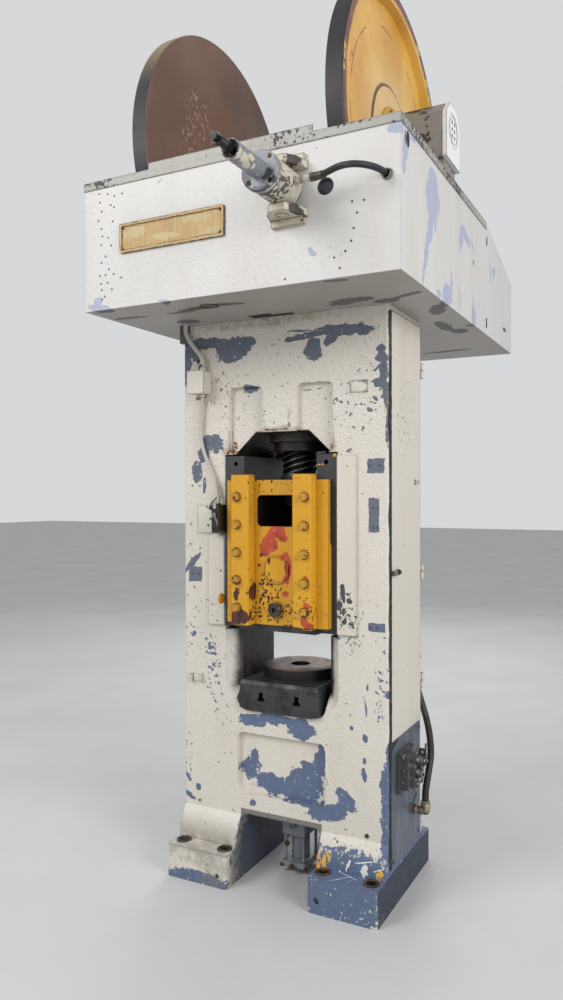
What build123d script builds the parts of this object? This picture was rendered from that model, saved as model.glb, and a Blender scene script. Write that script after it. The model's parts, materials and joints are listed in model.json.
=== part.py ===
from build123d import *
from math import asin, cos, degrees, pi, radians, sin, sqrt, tan
import os

os.makedirs("parts", exist_ok=True)

# A friction screw press, in millimetres. The origin is on the screw's axis, at the underside of the feet.
# +X is to the right seen from the front, -Y is the front and +Z is up.

# Running and seating clearances
run_gap = 0.06        # radial gap of a journal in its bearing
seat_gap = 0.1        # radial gap of a round piece in the piece that carries it
slide_gap = 0.4       # gap between flat sliding faces
touch_gap = 0.3       # gap between a moving piece and what it rests against

# Column casting
col_half = 435
col_deep = 180
col_top = 2172
col_corner = 10
foot_in = 168
foot_out = 438
foot_deep = 303
foot_height = 127
foot_corner = 14
foot_ledge = 215      # where the concave rise from the foot begins
foot_rise = 245       # where that rise meets the column's face
arch_top = 250
arch_corner = 30
bed_top = 660
throat_half = 190
throat_corner = 45
guide_half = 240
guide_bottom = 965
guide_top = 1650
crown_half = 205
crown_top_half = 115
crown_top = 1734
bevel = 50            # bevel along the edges of the lower throat
bevel_bottom = 700
pocket_depth = 22
pocket_corner = 26
bed_pocket = (188, 335, 568)
crown_pocket = (72, 222, 1912)
leg_recess_depth = 110
leg_recess_half = 130
leg_recess_bottom = 170
leg_recess_top = 2080
leg_rib = 25
boss_radius = 120
boss_bottom = 1700

# Foundation bolts
bolt_x_in = 207
bolt_x_out = 395
bolt_y = 247
bolt_hole_r = 18
bush_r = 29
bush_height = 5
front_tap_r = 8
front_tap_depth = 30

# Head housing
head_half = 612
head_front = -562
head_back = 1074
head_top = 2640
head_slope_start = 546
head_back_top = 2498
head_wall = 8
head_floor = 12
head_lip = 30
head_screw_hole_r = 150
lid = 6
lid_rim = 24
lid_rim_wall = 3
guard_width = 640

# Nut and screw
screw_r = 70
thread_bottom = 1572
thread_top = 2172
nut_r = 90
nut_top = 2000
nut_flange_r = 104
nut_flange = 39
screw_shank_r = 56
screw_seat_r = 78
screw_seat = 15
fly_journal_r = 45
stem_r = 45

# Ram
ram_half = 154.6
ram_bottom = 1000
ram_top = 1550
ram_plate_half = 215
ram_plate = 29.5
ram_rib_in = 92
ram_rib_out = 168
ram_rib = 50
ram_rib_top = 1570
window_half = 80
window_bottom = 1374
window_top = 1492
window_corner = 18
ram_bolt_x = 142
ram_bolt_bottom = 1066
ram_bolt_pitch = 105
ram_bolt_rows = 5
ram_bolt_size = 30    # across flats
ram_bolt_head = 13
ram_washer_r = 19
ram_washer = 3
emblem_z = 1211
emblem_r = 57
emblem_height = 7
plate_screw_z = 1297
clamp_screw_z = 1060
clamp_screw_r = 27
tool_plate_half = 170
tool_plate_thick = 25
tool_pin_r = 5
tool_pin = 30
thrust_ring = 12
collar_r = 68
collar_height = 44

# Flywheel
fly_r = 345
lining = 12
fly_rim = 46
fly_hub_r = 118
fly_hub_bottom = 2350
fly_hub_top = 2480
fly_rim_bottom = 2370
fly_rim_top = 2460
fly_web = 30
fly_hole_r = 48
fly_hole_pitch_r = 204
fly_hole_count = 6
fly_nut_size = 115
fly_nut = 35

# Friction discs and their shaft
disc_z = 2810
disc_r = 540
disc_thick = 60
disc_gap = 7          # free play of each disc from the flywheel
disc_rim = 50
disc_web = 30
disc_band_r = 205
disc_band = 4
disc_hub_r = 85
disc_hub = 28
shaft_r = 40
shaft_end_r = 30
shaft_left = -612
pulley_r = 130
pulley_width = 74
pulley_x = -483
pulley_rim = 10
pulley_hub_r = 65
pulley_web = 14
belt_width = 58
belt = 5

# Shaft bearings
housing_deep = 90
housing_bottom = 2690
housing_top = 2895
housing_chamfer = 45
right_housing_in = 452
right_housing_out = 604
left_housing_in = -532
left_housing_out = -604
pedestal_foot = 18
pedestal_half = 125
pedestal_web = 24
sleeve_r = 60
sleeve_in = 470
sleeve_length = 105
end_cover = 16

# Motor
motor_y = 800
motor_z = 2330
motor_r = 105
motor_left = -380
motor_right = -60
motor_fins = 24
fin_height = 9
fin_thick = 4
motor_shaft_r = 19
motor_pulley_r = 60
motor_base_half = 130
motor_rail = 20

# Gibs
gib_in = 155
gib_bottom = 980
gib_top = 1644
gib_hole_r = 9
gib_plate_out = 315
gib_plate = 12
left_plate_top = 1337
right_plate_top = 1637

# Bolster and dies
bolster_half = 170
bolster_deep = 196
bolster_top = 736
bolster_relief = 32     # width of the bevel under the bolster's long edges
die_plate_top = 776
die_plate_bevel = 14
slot_x = 76
slot_neck = 20
slot_head = 32
slot_neck_depth = 22
slot_depth = 36
die_ring_r = 145
die_ring_top = 818
die_ring_hole_r = 38
eject_bore_r = 21

# Ejector
eject_rod_r = 18
eject_rod_top = 770
eject_depth = 68
eject_flange_half = 75
eject_flange = 25
eject_block_half = 50
eject_block_bottom = 150
eject_tube_r = 36
eject_bottom = 22

# Side panels and door
panel = 4
panel_bottom = 150
door_front = -163
door_back = 172
door_bottom = 606
door_top = 2150
door_gap = 1
door_sheet = 5
hinge_x = 443
hinge_y = 185
hinge_r = 7
hinge_pin_r = 4
hinge_knuckle = 30
hinge_zs = (760, 1190, 1980)
latch_y = -105
latch_z = 1212
latch_r = 11
latch_reach = 66
latch_thick = 6
latch_width = 16
knob_y = 108
knob_z = 1541

# Brake
brake_x = 236
brake_z = 2468
barrel_r = 60
barrel_front = -742
barrel_back = -578
cap_r = 63
cap_thick = 20
tube_r = 29
tube_front = -930
rod_r = 11
rod_front = -1022
rod_hole_r = 26
nut_size = 30
trunnion_y = -612
trunnion_r = 20
trunnion_gap = 4
bracket_width = 120
bracket_thick = 26
bracket_out = -652
fitting_x = 362
fitting_y = -640
lever_x = -60
lever_y = -440
lever_pin_r = 15
lever_eye_r = 32
lever_half = 18
lever_tip_x = 262
lever_height = 44
shoe_height = 80
shoe_from = 20
shoe_to = 150
shoe_thick = 14
brake_turn = 1.7      # degrees from rest to contact with the flywheel
brake_clear = 0.5

# Switch gear on the front
switch_x = -258
switch_bottom = 1345
switch_top = 1440
switch_half = 18
switch_deep = 46
roller_r = 9
rail_x = -231
rail_thick = 6
rail_top = 1455
dog_height = 110
box_left = -378
box_right = -304
box_bottom = 1892
box_top = 1980
box_deep = 55


def xz(y):
    """A sketch plane facing the front at depth y, with local axes X and Z."""
    return Plane.XZ.offset(-y)


def yz(x):
    """A sketch plane facing +X at x, with local axes Y and Z."""
    return Plane.YZ.offset(x)


def at(x, y, z):
    """A horizontal plane with its origin at the given point."""
    return Plane(origin=(x, y, z), x_dir=(1, 0, 0), z_dir=(0, 0, 1))


# Column casting
throat_outline = [
    (throat_half, bed_top), (throat_half, guide_bottom), (guide_half, guide_bottom),
    (guide_half, guide_top), (crown_half, guide_top), (crown_top_half, crown_top),
]
recess_height = (leg_recess_top - leg_recess_bottom - 2 * leg_rib) / 3

with BuildPart() as column_casting:
    with BuildSketch(Plane.XY):
        RectangleRounded(2 * col_half, 2 * col_deep, col_corner)
    extrude(amount=col_top)
    for side in (-1, 1):
        with BuildSketch(at(side * (foot_in + foot_out) / 2, 0, 0)):
            RectangleRounded(foot_out - foot_in, 2 * foot_deep, foot_corner)
        extrude(amount=foot_height)
        with BuildSketch(yz(side * foot_in)):
            for face in (-1, 1):
                with BuildLine():
                    Line((face * foot_ledge, foot_height), (0, foot_height))
                    Line((0, foot_height), (0, foot_rise))
                    Line((0, foot_rise), (face * col_deep, foot_rise))
                    RadiusArc((face * col_deep, foot_rise), (face * foot_ledge, foot_height), face * 190)
                make_face()
        extrude(amount=side * (foot_out - foot_in - 3))
    with BuildSketch(xz(0)):
        with Locations((0, arch_top / 2 - arch_corner / 2)):
            RectangleRounded(2 * foot_in, arch_top + arch_corner, arch_corner)
    extrude(amount=2 * foot_deep, both=True, mode=Mode.SUBTRACT)
    with BuildSketch(xz(0)):
        with BuildLine():
            Polyline(throat_outline + [(-x, z) for x, z in reversed(throat_outline)], close=True)
        make_face()
        fillet(vertices().group_by(Axis.Y)[0], throat_corner)
    extrude(amount=2 * col_deep, both=True, mode=Mode.SUBTRACT)
    for face in (-1, 1):
        with BuildSketch(xz(face * col_deep)):
            with Locations((0, (bevel_bottom + guide_bottom + bevel) / 2)):
                RectangleRounded(2 * guide_half, guide_bottom + bevel - bevel_bottom, bevel)
        extrude(amount=bevel * face, taper=45, mode=Mode.SUBTRACT)
        with BuildSketch(xz(face * col_deep)):
            with Locations((0, (bed_pocket[1] + bed_pocket[2]) / 2)):
                RectangleRounded(2 * bed_pocket[0], bed_pocket[2] - bed_pocket[1], pocket_corner)
            for side in (-1, 1):
                with Locations((side * (crown_pocket[0] + crown_pocket[1]) / 2, (guide_top + crown_pocket[2]) / 2)):
                    RectangleRounded(crown_pocket[1] - crown_pocket[0], crown_pocket[2] - guide_top, pocket_corner)
        extrude(amount=pocket_depth * face, mode=Mode.SUBTRACT)
    for side in (-1, 1):
        with BuildSketch(yz(side * col_half)):
            with Locations((0, (leg_recess_bottom + leg_recess_top) / 2)):
                with GridLocations(1, recess_height + leg_rib, 1, 3):
                    RectangleRounded(2 * leg_recess_half, recess_height, 20)
        extrude(amount=-side * leg_recess_depth, mode=Mode.SUBTRACT)
    with BuildSketch(Plane.XY.offset(boss_bottom)):
        Circle(boss_radius)
    extrude(amount=crown_top + 20 - boss_bottom)
    with BuildSketch(Plane.XY.offset(boss_bottom)):
        Circle(nut_r + seat_gap)
    extrude(amount=col_top, mode=Mode.SUBTRACT)
    with BuildSketch(Plane.XY.offset(arch_top / 2)):
        Circle(eject_bore_r)
    extrude(amount=bed_top, mode=Mode.SUBTRACT)
    for x in (bolt_x_in, bolt_x_out):
        with Locations(at(0, 0, foot_height)):
            with GridLocations(2 * x, 2 * bolt_y, 2, 2):
                Hole(bolt_hole_r, depth=foot_height)
    with BuildSketch(xz(-foot_deep)):
        with Locations((-(foot_in + 40), 45), (foot_in + 40, 45)):
            Circle(front_tap_r)
    extrude(amount=-front_tap_depth, mode=Mode.SUBTRACT)
column_casting.part.label = "column_casting"
export_step(column_casting.part, "parts/column_casting.step")

with BuildPart() as foot_bushes:
    for x in (bolt_x_in, bolt_x_out):
        with BuildSketch(Plane.XY.offset(foot_height)):
            with GridLocations(2 * x, 2 * bolt_y, 2, 2):
                Circle(bush_r)
                Circle(bolt_hole_r, mode=Mode.SUBTRACT)
        extrude(amount=bush_height)
    chamfer(foot_bushes.faces().filter_by(Axis.Z).group_by(Axis.Z)[-1].edges(), 1.5)
foot_bushes.part.label = "foot_bushes"
export_step(foot_bushes.part, "parts/foot_bushes.step")

# Head housing: a welded box, open above, with a sloping rear
with BuildPart() as head_housing:
    with BuildSketch(yz(0)):
        with BuildLine():
            Polyline(
                (head_front, col_top), (head_back, col_top), (head_back, head_back_top),
                (head_slope_start, head_top), (head_front, head_top), close=True,
            )
        make_face()
    extrude(amount=head_half, both=True)
    with BuildSketch(yz(0)):
        with Locations(((head_front + head_back) / 2, col_top + head_floor + 300)):
            Rectangle(head_back - head_front - 2 * head_wall, 600)
    extrude(amount=head_half - head_wall, both=True, mode=Mode.SUBTRACT)
    lip_length = head_slope_start - head_front - head_wall
    with BuildSketch(Plane.XY.offset(head_top - head_wall)):
        with Locations((0, head_front + head_wall + lip_length / 2)):
            Rectangle(2 * (head_half - head_wall), lip_length)
            Rectangle(2 * (head_half - head_wall - head_lip), lip_length - 2 * head_lip, mode=Mode.SUBTRACT)
    extrude(amount=head_wall)
    with BuildSketch(Plane.XY.offset(col_top)):
        Circle(head_screw_hole_r)
    extrude(amount=head_floor, mode=Mode.SUBTRACT)
    with BuildSketch(xz(head_front)):
        with Locations((brake_x, brake_z)):
            Circle(rod_hole_r)
        with Locations((364, 2465)):
            Circle(27.5)
        with Locations((562, 2470)):
            Circle(15)
    extrude(amount=-head_wall, mode=Mode.SUBTRACT)
    with BuildSketch(yz(head_half)):
        with Locations((head_front + 45, head_top - 55)):
            SlotOverall(44, 18, rotation=90)
        with Locations((330, 2420)):
            Circle(11)
        with Locations((930, 2260)):
            SlotOverall(70, 16)
    extrude(amount=-head_wall, mode=Mode.SUBTRACT)
    with BuildSketch(Plane.XY.offset(col_top + head_floor)):
        with Locations(((motor_left + motor_right) / 2, motor_y)):
            with GridLocations(160, 1, 2, 1):
                Rectangle(40, 2 * motor_base_half)
    extrude(amount=motor_rail)
head_housing.part.label = "head_housing"
export_step(head_housing.part, "parts/head_housing.step")

# Head cover: a flat lid with a turned-down rim, and slots for the discs and the belt
disc_in = fly_r + disc_gap
disc_out = disc_in + disc_thick
slot_margin = 16
disc_slot_half = sqrt(disc_r**2 - (disc_z - head_top - lid) ** 2) + 20
belt_slot_out = pulley_x - belt_width / 2 - 14
with BuildPart() as head_cover:
    with BuildSketch(Plane.XY.offset(head_top)):
        with Locations((0, (head_front + head_slope_start) / 2 - lid_rim_wall / 2)):
            Rectangle(2 * (head_half + lid_rim_wall), head_slope_start - head_front + lid_rim_wall)
    extrude(amount=lid)
    with BuildSketch(Plane.XY.offset(head_top - lid_rim)):
        with Locations((0, (head_front + head_slope_start) / 2 - lid_rim_wall / 2)):
            Rectangle(2 * (head_half + lid_rim_wall), head_slope_start - head_front + lid_rim_wall)
        with Locations((0, (head_front + head_slope_start) / 2 + 1)):
            Rectangle(2 * head_half + 0.4, head_slope_start - head_front + 2.2, mode=Mode.SUBTRACT)
    extrude(amount=lid_rim)
    with BuildSketch(Plane.XY.offset(head_top)):
        for side in (-1, 1):
            with Locations((side * (disc_in + disc_out) / 2, 0)):
                Rectangle(disc_thick + 2 * slot_margin, 2 * disc_slot_half)
        with Locations(((belt_slot_out - disc_in) / 2, 255)):
            Rectangle(-disc_in - belt_slot_out, 490)
    extrude(amount=lid, mode=Mode.SUBTRACT)
    with BuildSketch(xz(head_front - lid_rim_wall)):
        with Locations((0, head_top + lid + 11)):
            Rectangle(guard_width, 22)
    extrude(amount=-5)
head_cover.part.label = "head_cover"
export_step(head_cover.part, "parts/head_cover.step")

rear_slope = Vector(0, head_back - head_slope_start, head_back_top - head_top)
with BuildPart() as rear_cover:
    with BuildSketch(yz(0)):
        with BuildLine():
            Polyline(
                (head_slope_start + 2, head_top + 0.2), (head_back, head_back_top),
                (head_back + lid, head_back_top), (head_back + lid, head_back_top + lid),
                (head_slope_start + 2, head_top + lid), close=True,
            )
        make_face()
    extrude(amount=head_half, both=True)
    with BuildSketch(yz(0)):
        with BuildLine():
            Polyline(
                (head_back, head_back_top - lid_rim), (head_back, head_back_top),
                (head_back + lid, head_back_top), (head_back + lid, head_back_top - lid_rim), close=True,
            )
        make_face()
    extrude(amount=head_half, both=True)
rear_cover.part.label = "rear_cover"
export_step(rear_cover.part, "parts/rear_cover.step")

name_plate_width = 440
name_plate_height = 105
name_plate_thick = 8
name_plate_border = 9
with BuildPart() as name_plate:
    with BuildSketch(xz(head_front)):
        with Locations((-227, 2418)):
            RectangleRounded(name_plate_width, name_plate_height, 5)
    extrude(amount=name_plate_thick)
    with BuildSketch(xz(head_front - name_plate_thick)):
        with Locations((-227, 2418)):
            RectangleRounded(name_plate_width - 2 * name_plate_border, name_plate_height - 2 * name_plate_border, 4)
    extrude(amount=-name_plate_thick / 2, mode=Mode.SUBTRACT)
name_plate.part.label = "name_plate"
export_step(name_plate.part, "parts/name_plate.step")

# Nut and screw
with BuildPart() as screw_nut:
    with BuildSketch(Plane.XY.offset(boss_bottom - nut_flange)):
        Circle(nut_flange_r)
    extrude(amount=nut_flange)
    with BuildSketch(Plane.XY.offset(boss_bottom)):
        Circle(nut_r)
    extrude(amount=nut_top - boss_bottom)
    with BuildSketch(Plane.XY.offset(boss_bottom - nut_flange)):
        Circle(screw_r + 4 * seat_gap)
    extrude(amount=nut_top, mode=Mode.SUBTRACT)
    chamfer(screw_nut.edges().group_by(Axis.Z)[0].sort_by(SortBy.RADIUS)[-1], 4)
screw_nut.part.label = "screw_nut"
export_step(screw_nut.part, "parts/screw_nut.step")

screw_steps = [
    (ram_top + thrust_ring - 160, ram_top + thrust_ring, stem_r),
    (ram_top + thrust_ring, thread_bottom, screw_r + 3),
    (thread_bottom, thread_top, screw_r),
    (thread_top, fly_hub_bottom - screw_seat, screw_shank_r),
    (fly_hub_bottom - screw_seat, fly_hub_bottom, screw_seat_r),
    (fly_hub_bottom, fly_hub_top, fly_journal_r),
    (fly_hub_top, fly_hub_top + fly_nut + 6, fly_journal_r - 7),
]
with BuildPart() as screw:
    for z0, z1, radius in screw_steps:
        with BuildSketch(Plane.XY.offset(z0)):
            Circle(radius)
        extrude(amount=z1 - z0)
    chamfer(screw.edges().group_by(Axis.Z)[0], 3)
screw.part.label = "screw"
export_step(screw.part, "parts/screw.step")

with BuildPart() as screw_collar:
    with BuildSketch(Plane.XY.offset(window_top - 2 - collar_height)):
        Circle(collar_r)
        Circle(stem_r + seat_gap, mode=Mode.SUBTRACT)
    extrude(amount=collar_height)
    chamfer(screw_collar.edges().filter_by(GeomType.CIRCLE).sort_by(SortBy.RADIUS)[-2:], 3)
screw_collar.part.label = "screw_collar"
export_step(screw_collar.part, "parts/screw_collar.step")

with BuildPart() as flywheel:
    rim_in = fly_r - lining - seat_gap - fly_rim
    web_mid = (fly_rim_bottom + fly_rim_top) / 2
    with BuildSketch(xz(0)):
        with BuildLine():
            Polyline(
                (fly_journal_r + seat_gap, fly_hub_bottom), (fly_hub_r, fly_hub_bottom),
                (fly_hub_r, web_mid - fly_web / 2), (rim_in, web_mid - fly_web / 2), (rim_in, fly_rim_bottom),
                (rim_in + fly_rim, fly_rim_bottom), (rim_in + fly_rim, fly_rim_top), (rim_in, fly_rim_top),
                (rim_in, web_mid + fly_web / 2), (fly_hub_r, web_mid + fly_web / 2), (fly_hub_r, fly_hub_top),
                (fly_journal_r + seat_gap, fly_hub_top), close=True,
            )
        make_face()
    revolve(axis=Axis.Z)
    with BuildSketch(Plane.XY.offset(web_mid)):
        with PolarLocations(fly_hole_pitch_r, fly_hole_count):
            Circle(fly_hole_r)
    extrude(amount=fly_web, both=True, mode=Mode.SUBTRACT)
flywheel.part.label = "flywheel"
export_step(flywheel.part, "parts/flywheel.step")

with BuildPart() as flywheel_lining:
    with BuildSketch(Plane.XY.offset(fly_rim_bottom + 4)):
        Circle(fly_r)
        Circle(fly_r - lining, mode=Mode.SUBTRACT)
    extrude(amount=fly_rim_top - fly_rim_bottom - 8)
flywheel_lining.part.label = "flywheel_lining"
export_step(flywheel_lining.part, "parts/flywheel_lining.step")

with BuildPart() as flywheel_nut:
    with BuildSketch(Plane.XY.offset(fly_hub_top)):
        RegularPolygon(fly_nut_size / 2, 6, major_radius=False)
        Circle(fly_journal_r - 7 + seat_gap, mode=Mode.SUBTRACT)
    extrude(amount=fly_nut)
flywheel_nut.part.label = "flywheel_nut"
export_step(flywheel_nut.part, "parts/flywheel_nut.step")

# Ram: a box slide between the gibs, with face plates that lap over them
ram_front = -col_deep - slide_gap - ram_plate
with BuildPart() as ram:
    with BuildSketch(xz(0)):
        with Locations((0, (ram_bottom + ram_top) / 2)):
            Rectangle(2 * ram_half, ram_top - ram_bottom)
    extrude(amount=col_deep + slide_gap, both=True)
    for face in (-1, 1):
        with BuildSketch(xz(face * (col_deep + slide_gap))):
            with Locations((0, (ram_bottom + ram_top) / 2)):
                Rectangle(2 * ram_plate_half, ram_top - ram_bottom)
        extrude(amount=-face * ram_plate)
    with BuildSketch(xz(ram_front)):
        for side in (-1, 1):
            with Locations((side * (ram_rib_in + ram_rib_out) / 2, (ram_bottom + ram_rib_top) / 2)):
                Rectangle(ram_rib_out - ram_rib_in, ram_rib_top - ram_bottom)
    extrude(amount=ram_rib)
    rib_front_edges = ram.faces().filter_by(Axis.Y).sort_by(Axis.Y)[:2].edges().filter_by(Axis.Z)
    chamfer(rib_front_edges, 3)
    with BuildSketch(xz(ram_front)):
        with Locations((0, (window_bottom + window_top) / 2)):
            RectangleRounded(2 * window_half, window_top - window_bottom, window_corner)
    extrude(amount=-(col_deep + ram_plate + window_half), mode=Mode.SUBTRACT)
    with BuildSketch(Plane.XY.offset(window_bottom + 20)):
        Circle(stem_r + run_gap)
    extrude(amount=ram_top, mode=Mode.SUBTRACT)
    with BuildSketch(xz(ram_front)):
        with Locations((0, emblem_z)):
            RegularPolygon(emblem_r, 8, rotation=22.5)
    extrude(amount=emblem_height)
    with BuildSketch(xz(ram_front - emblem_height)):
        with Locations((0, emblem_z)):
            RegularPolygon(emblem_r - 7, 8, rotation=22.5)
    extrude(amount=-3, mode=Mode.SUBTRACT)
    with BuildSketch(xz(ram_front)):
        with Locations((0, clamp_screw_z)):
            Circle(clamp_screw_r + 5)
    extrude(amount=4)
    with BuildSketch(xz(ram_front - 4)):
        with Locations((0, clamp_screw_z)):
            Circle(clamp_screw_r - 8)
    extrude(amount=-60, mode=Mode.SUBTRACT)
ram.part.label = "ram"
export_step(ram.part, "parts/ram.step")

rib_front = ram_front - ram_rib
with BuildPart() as ram_bolts:
    bolt_mid = ram_bolt_bottom + ram_bolt_pitch * (ram_bolt_rows - 1) / 2
    with BuildSketch(xz(rib_front)):
        with Locations((0, bolt_mid)):
            with GridLocations(2 * ram_bolt_x, ram_bolt_pitch, 2, ram_bolt_rows):
                Circle(ram_washer_r)
    extrude(amount=ram_washer)
    with BuildSketch(xz(rib_front - ram_washer)):
        with Locations((0, bolt_mid)):
            with GridLocations(2 * ram_bolt_x, ram_bolt_pitch, 2, ram_bolt_rows):
                RegularPolygon(ram_bolt_size / 2, 6, major_radius=False, rotation=12)
    extrude(amount=ram_bolt_head)
ram_bolts.part.label = "ram_bolts"
export_step(ram_bolts.part, "parts/ram_bolts.step")

with BuildPart() as clamp_screw:
    with BuildSketch(xz(ram_front - 4)):
        with Locations((0, clamp_screw_z)):
            Circle(clamp_screw_r)
    extrude(amount=16)
    chamfer(clamp_screw.faces().sort_by(Axis.Y)[0].edges(), 4)
    with BuildSketch(xz(ram_front - 4)):
        with Locations((0, clamp_screw_z)):
            Circle(clamp_screw_r - 8 - seat_gap)
    extrude(amount=-55)
    with BuildSketch(xz(ram_front - 20)):
        with Locations((0, clamp_screw_z)):
            RegularPolygon(9, 6, major_radius=False)
    extrude(amount=-10, mode=Mode.SUBTRACT)
clamp_screw.part.label = "clamp_screw"
export_step(clamp_screw.part, "parts/clamp_screw.step")

with BuildPart() as tool_plate:
    with BuildSketch(xz(ram_front + 12)):
        with BuildLine():
            Polyline(
                (-ram_plate_half + 8, ram_bottom), (ram_plate_half - 8, ram_bottom),
                (ram_plate_half - 8, ram_bottom - 8), (tool_plate_half - 12, ram_bottom - tool_plate_thick),
                (12 - tool_plate_half, ram_bottom - tool_plate_thick), (8 - ram_plate_half, ram_bottom - 8), close=True,
            )
        make_face()
    extrude(amount=2 * ram_front + 24)
    with BuildSketch(Plane.XY.offset(ram_bottom)):
        for side in (-1, 1):
            with Locations((side * (gib_in - 2 + ram_plate_half) / 2, 0)):
                Rectangle(ram_plate_half - gib_in + 2, 2 * (col_deep + slide_gap))
    extrude(amount=-tool_plate_thick, mode=Mode.SUBTRACT)
    with BuildSketch(Plane.XY.offset(ram_bottom - tool_plate_thick)):
        Circle(tool_pin_r)
    extrude(amount=-tool_pin)
tool_plate.part.label = "tool_plate"
export_step(tool_plate.part, "parts/tool_plate.step")

with BuildPart() as thrust_washer:
    with BuildSketch(Plane.XY.offset(ram_top)):
        Circle(screw_r + 12)
        Circle(stem_r + 2, mode=Mode.SUBTRACT)
    extrude(amount=thrust_ring - touch_gap)
thrust_washer.part.label = "thrust_washer"
export_step(thrust_washer.part, "parts/thrust_washer.step")

with BuildPart() as trip_rail:
    with BuildSketch(Plane.XY.offset(ram_bottom + 5)):
        with Locations((rail_x + rail_thick / 2, ram_front + 14)):
            Rectangle(rail_thick, 22)
        with Locations(((rail_x + rail_thick - ram_plate_half) / 2, ram_front + 14)):
            Rectangle(-ram_plate_half - rail_x - rail_thick, 8)
    extrude(amount=rail_top - ram_bottom - 5)
    with BuildSketch(Plane.XY.offset(rail_top - dog_height)):
        with Locations((rail_x + rail_thick / 2, -col_deep - switch_deep - 3)):
            Rectangle(rail_thick, 50)
    extrude(amount=dog_height)
trip_rail.part.label = "trip_rail"
export_step(trip_rail.part, "parts/trip_rail.step")

# Gibs and their face plates
with BuildPart() as gibs:
    for side in (-1, 1):
        with BuildSketch(xz(0)):
            with Locations((side * (gib_in + guide_half - 1) / 2, (gib_bottom + gib_top) / 2)):
                Rectangle(guide_half - 1 - gib_in, gib_top - gib_bottom)
        extrude(amount=col_deep, both=True)
    with BuildSketch(xz(-col_deep)):
        with GridLocations(2 * (gib_in + 38), 1, 2, 1):
            with Locations((0, gib_top - 30)):
                Circle(gib_hole_r)
    extrude(amount=-40, mode=Mode.SUBTRACT)
gibs.part.label = "gibs"
export_step(gibs.part, "parts/gibs.step")

with BuildPart() as gib_face_plates:
    for side, top in ((-1, left_plate_top), (1, right_plate_top)):
        with BuildSketch(xz(-col_deep)):
            with Locations((side * (guide_half + gib_plate_out) / 2, (gib_bottom + top) / 2)):
                Rectangle(gib_plate_out - guide_half, top - gib_bottom)
        extrude(amount=gib_plate)
    chamfer(gib_face_plates.faces().sort_by(Axis.Y)[:2].edges(), 2)
gib_face_plates.part.label = "gib_face_plates"
export_step(gib_face_plates.part, "parts/gib_face_plates.step")

# Bolster, die plate and die ring
with BuildPart() as bolster_block:
    with BuildSketch(xz(0)):
        with Locations((0, (bed_top + bolster_top) / 2)):
            Rectangle(2 * bolster_half, bolster_top - bed_top)
        for side in (-1, 1):
            with Locations((side * slot_x, bolster_top - slot_neck_depth / 2)):
                Rectangle(slot_neck, slot_neck_depth, mode=Mode.SUBTRACT)
            with Locations((side * slot_x, bolster_top - (slot_neck_depth + slot_depth) / 2)):
                Rectangle(slot_head, slot_depth - slot_neck_depth, mode=Mode.SUBTRACT)
    extrude(amount=bolster_deep, both=True)
    with BuildSketch(Plane.XY.offset(bed_top)):
        Circle(eject_bore_r)
    extrude(amount=bolster_top, mode=Mode.SUBTRACT)
    underside = bolster_block.faces().sort_by(Axis.Z)[0]
    long_edges = underside.edges().filter_by(Axis.Y).sort_by(Axis.X)
    chamfer([long_edges[0], long_edges[-1]], bolster_relief, bolster_relief / 3, reference=underside)
bolster_block.part.label = "bolster_block"
export_step(bolster_block.part, "parts/bolster_block.step")

with BuildPart() as die_plate:
    with BuildSketch(Plane.XY.offset(bolster_top)):
        Rectangle(2 * bolster_half - 4, 2 * bolster_deep)
    extrude(amount=die_plate_top - bolster_top)
    chamfer(die_plate.faces().sort_by(Axis.Z)[-1].edges(), die_plate_bevel, 6)
    with BuildSketch(Plane.XY.offset(bolster_top)):
        Circle(eject_bore_r)
    extrude(amount=die_plate_top, mode=Mode.SUBTRACT)
die_plate.part.label = "die_plate"
export_step(die_plate.part, "parts/die_plate.step")

with BuildPart() as die_ring:
    with BuildSketch(Plane.XY.offset(die_plate_top)):
        Circle(die_ring_r)
        Circle(die_ring_hole_r, mode=Mode.SUBTRACT)
    extrude(amount=die_ring_top - die_plate_top)
    chamfer(die_ring.faces().sort_by(Axis.Z)[-1].edges(), 2.5)
die_ring.part.label = "die_ring"
export_step(die_ring.part, "parts/die_ring.step")

# Ejector under the bed
with BuildPart() as ejector_cylinder:
    with BuildSketch(Plane.XY.offset(arch_top - eject_flange)):
        RectangleRounded(2 * eject_flange_half, 2 * eject_flange_half, 12)
    extrude(amount=eject_flange)
    for z0, z1 in ((eject_block_bottom, arch_top - eject_flange), (eject_bottom, eject_bottom + 26)):
        with BuildSketch(Plane.XY.offset(z0)):
            RectangleRounded(2 * eject_block_half, 2 * eject_depth, 6)
        extrude(amount=z1 - z0)
    with BuildSketch(Plane.XY.offset(eject_bottom)):
        Circle(eject_tube_r)
        with GridLocations(2 * eject_block_half - 22, 2 * eject_depth - 22, 2, 2):
            Circle(6)
    extrude(amount=eject_block_bottom - eject_bottom)
    with BuildSketch(Plane.XY.offset(arch_top)):
        Circle(eject_rod_r + 2)
    extrude(amount=-(arch_top - eject_bottom - 12), mode=Mode.SUBTRACT)
    with BuildSketch(xz(-eject_depth)):
        with Locations((0, eject_block_bottom + 42)):
            Circle(13)
    extrude(amount=14)
    with BuildSketch(xz(-eject_depth - 14)):
        with Locations((0, eject_block_bottom + 42)):
            Circle(6)
    extrude(amount=-8, mode=Mode.SUBTRACT)
ejector_cylinder.part.label = "ejector_cylinder"
export_step(ejector_cylinder.part, "parts/ejector_cylinder.step")

with BuildPart() as ejector_rod:
    with BuildSketch(Plane.XY.offset(eject_bottom + 12 + touch_gap)):
        Circle(eject_rod_r)
    extrude(amount=eject_rod_top - eject_bottom - 12 - touch_gap)
    chamfer(ejector_rod.faces().sort_by(Axis.Z)[-1].edges(), 2)
ejector_rod.part.label = "ejector_rod"
export_step(ejector_rod.part, "parts/ejector_rod.step")

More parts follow.
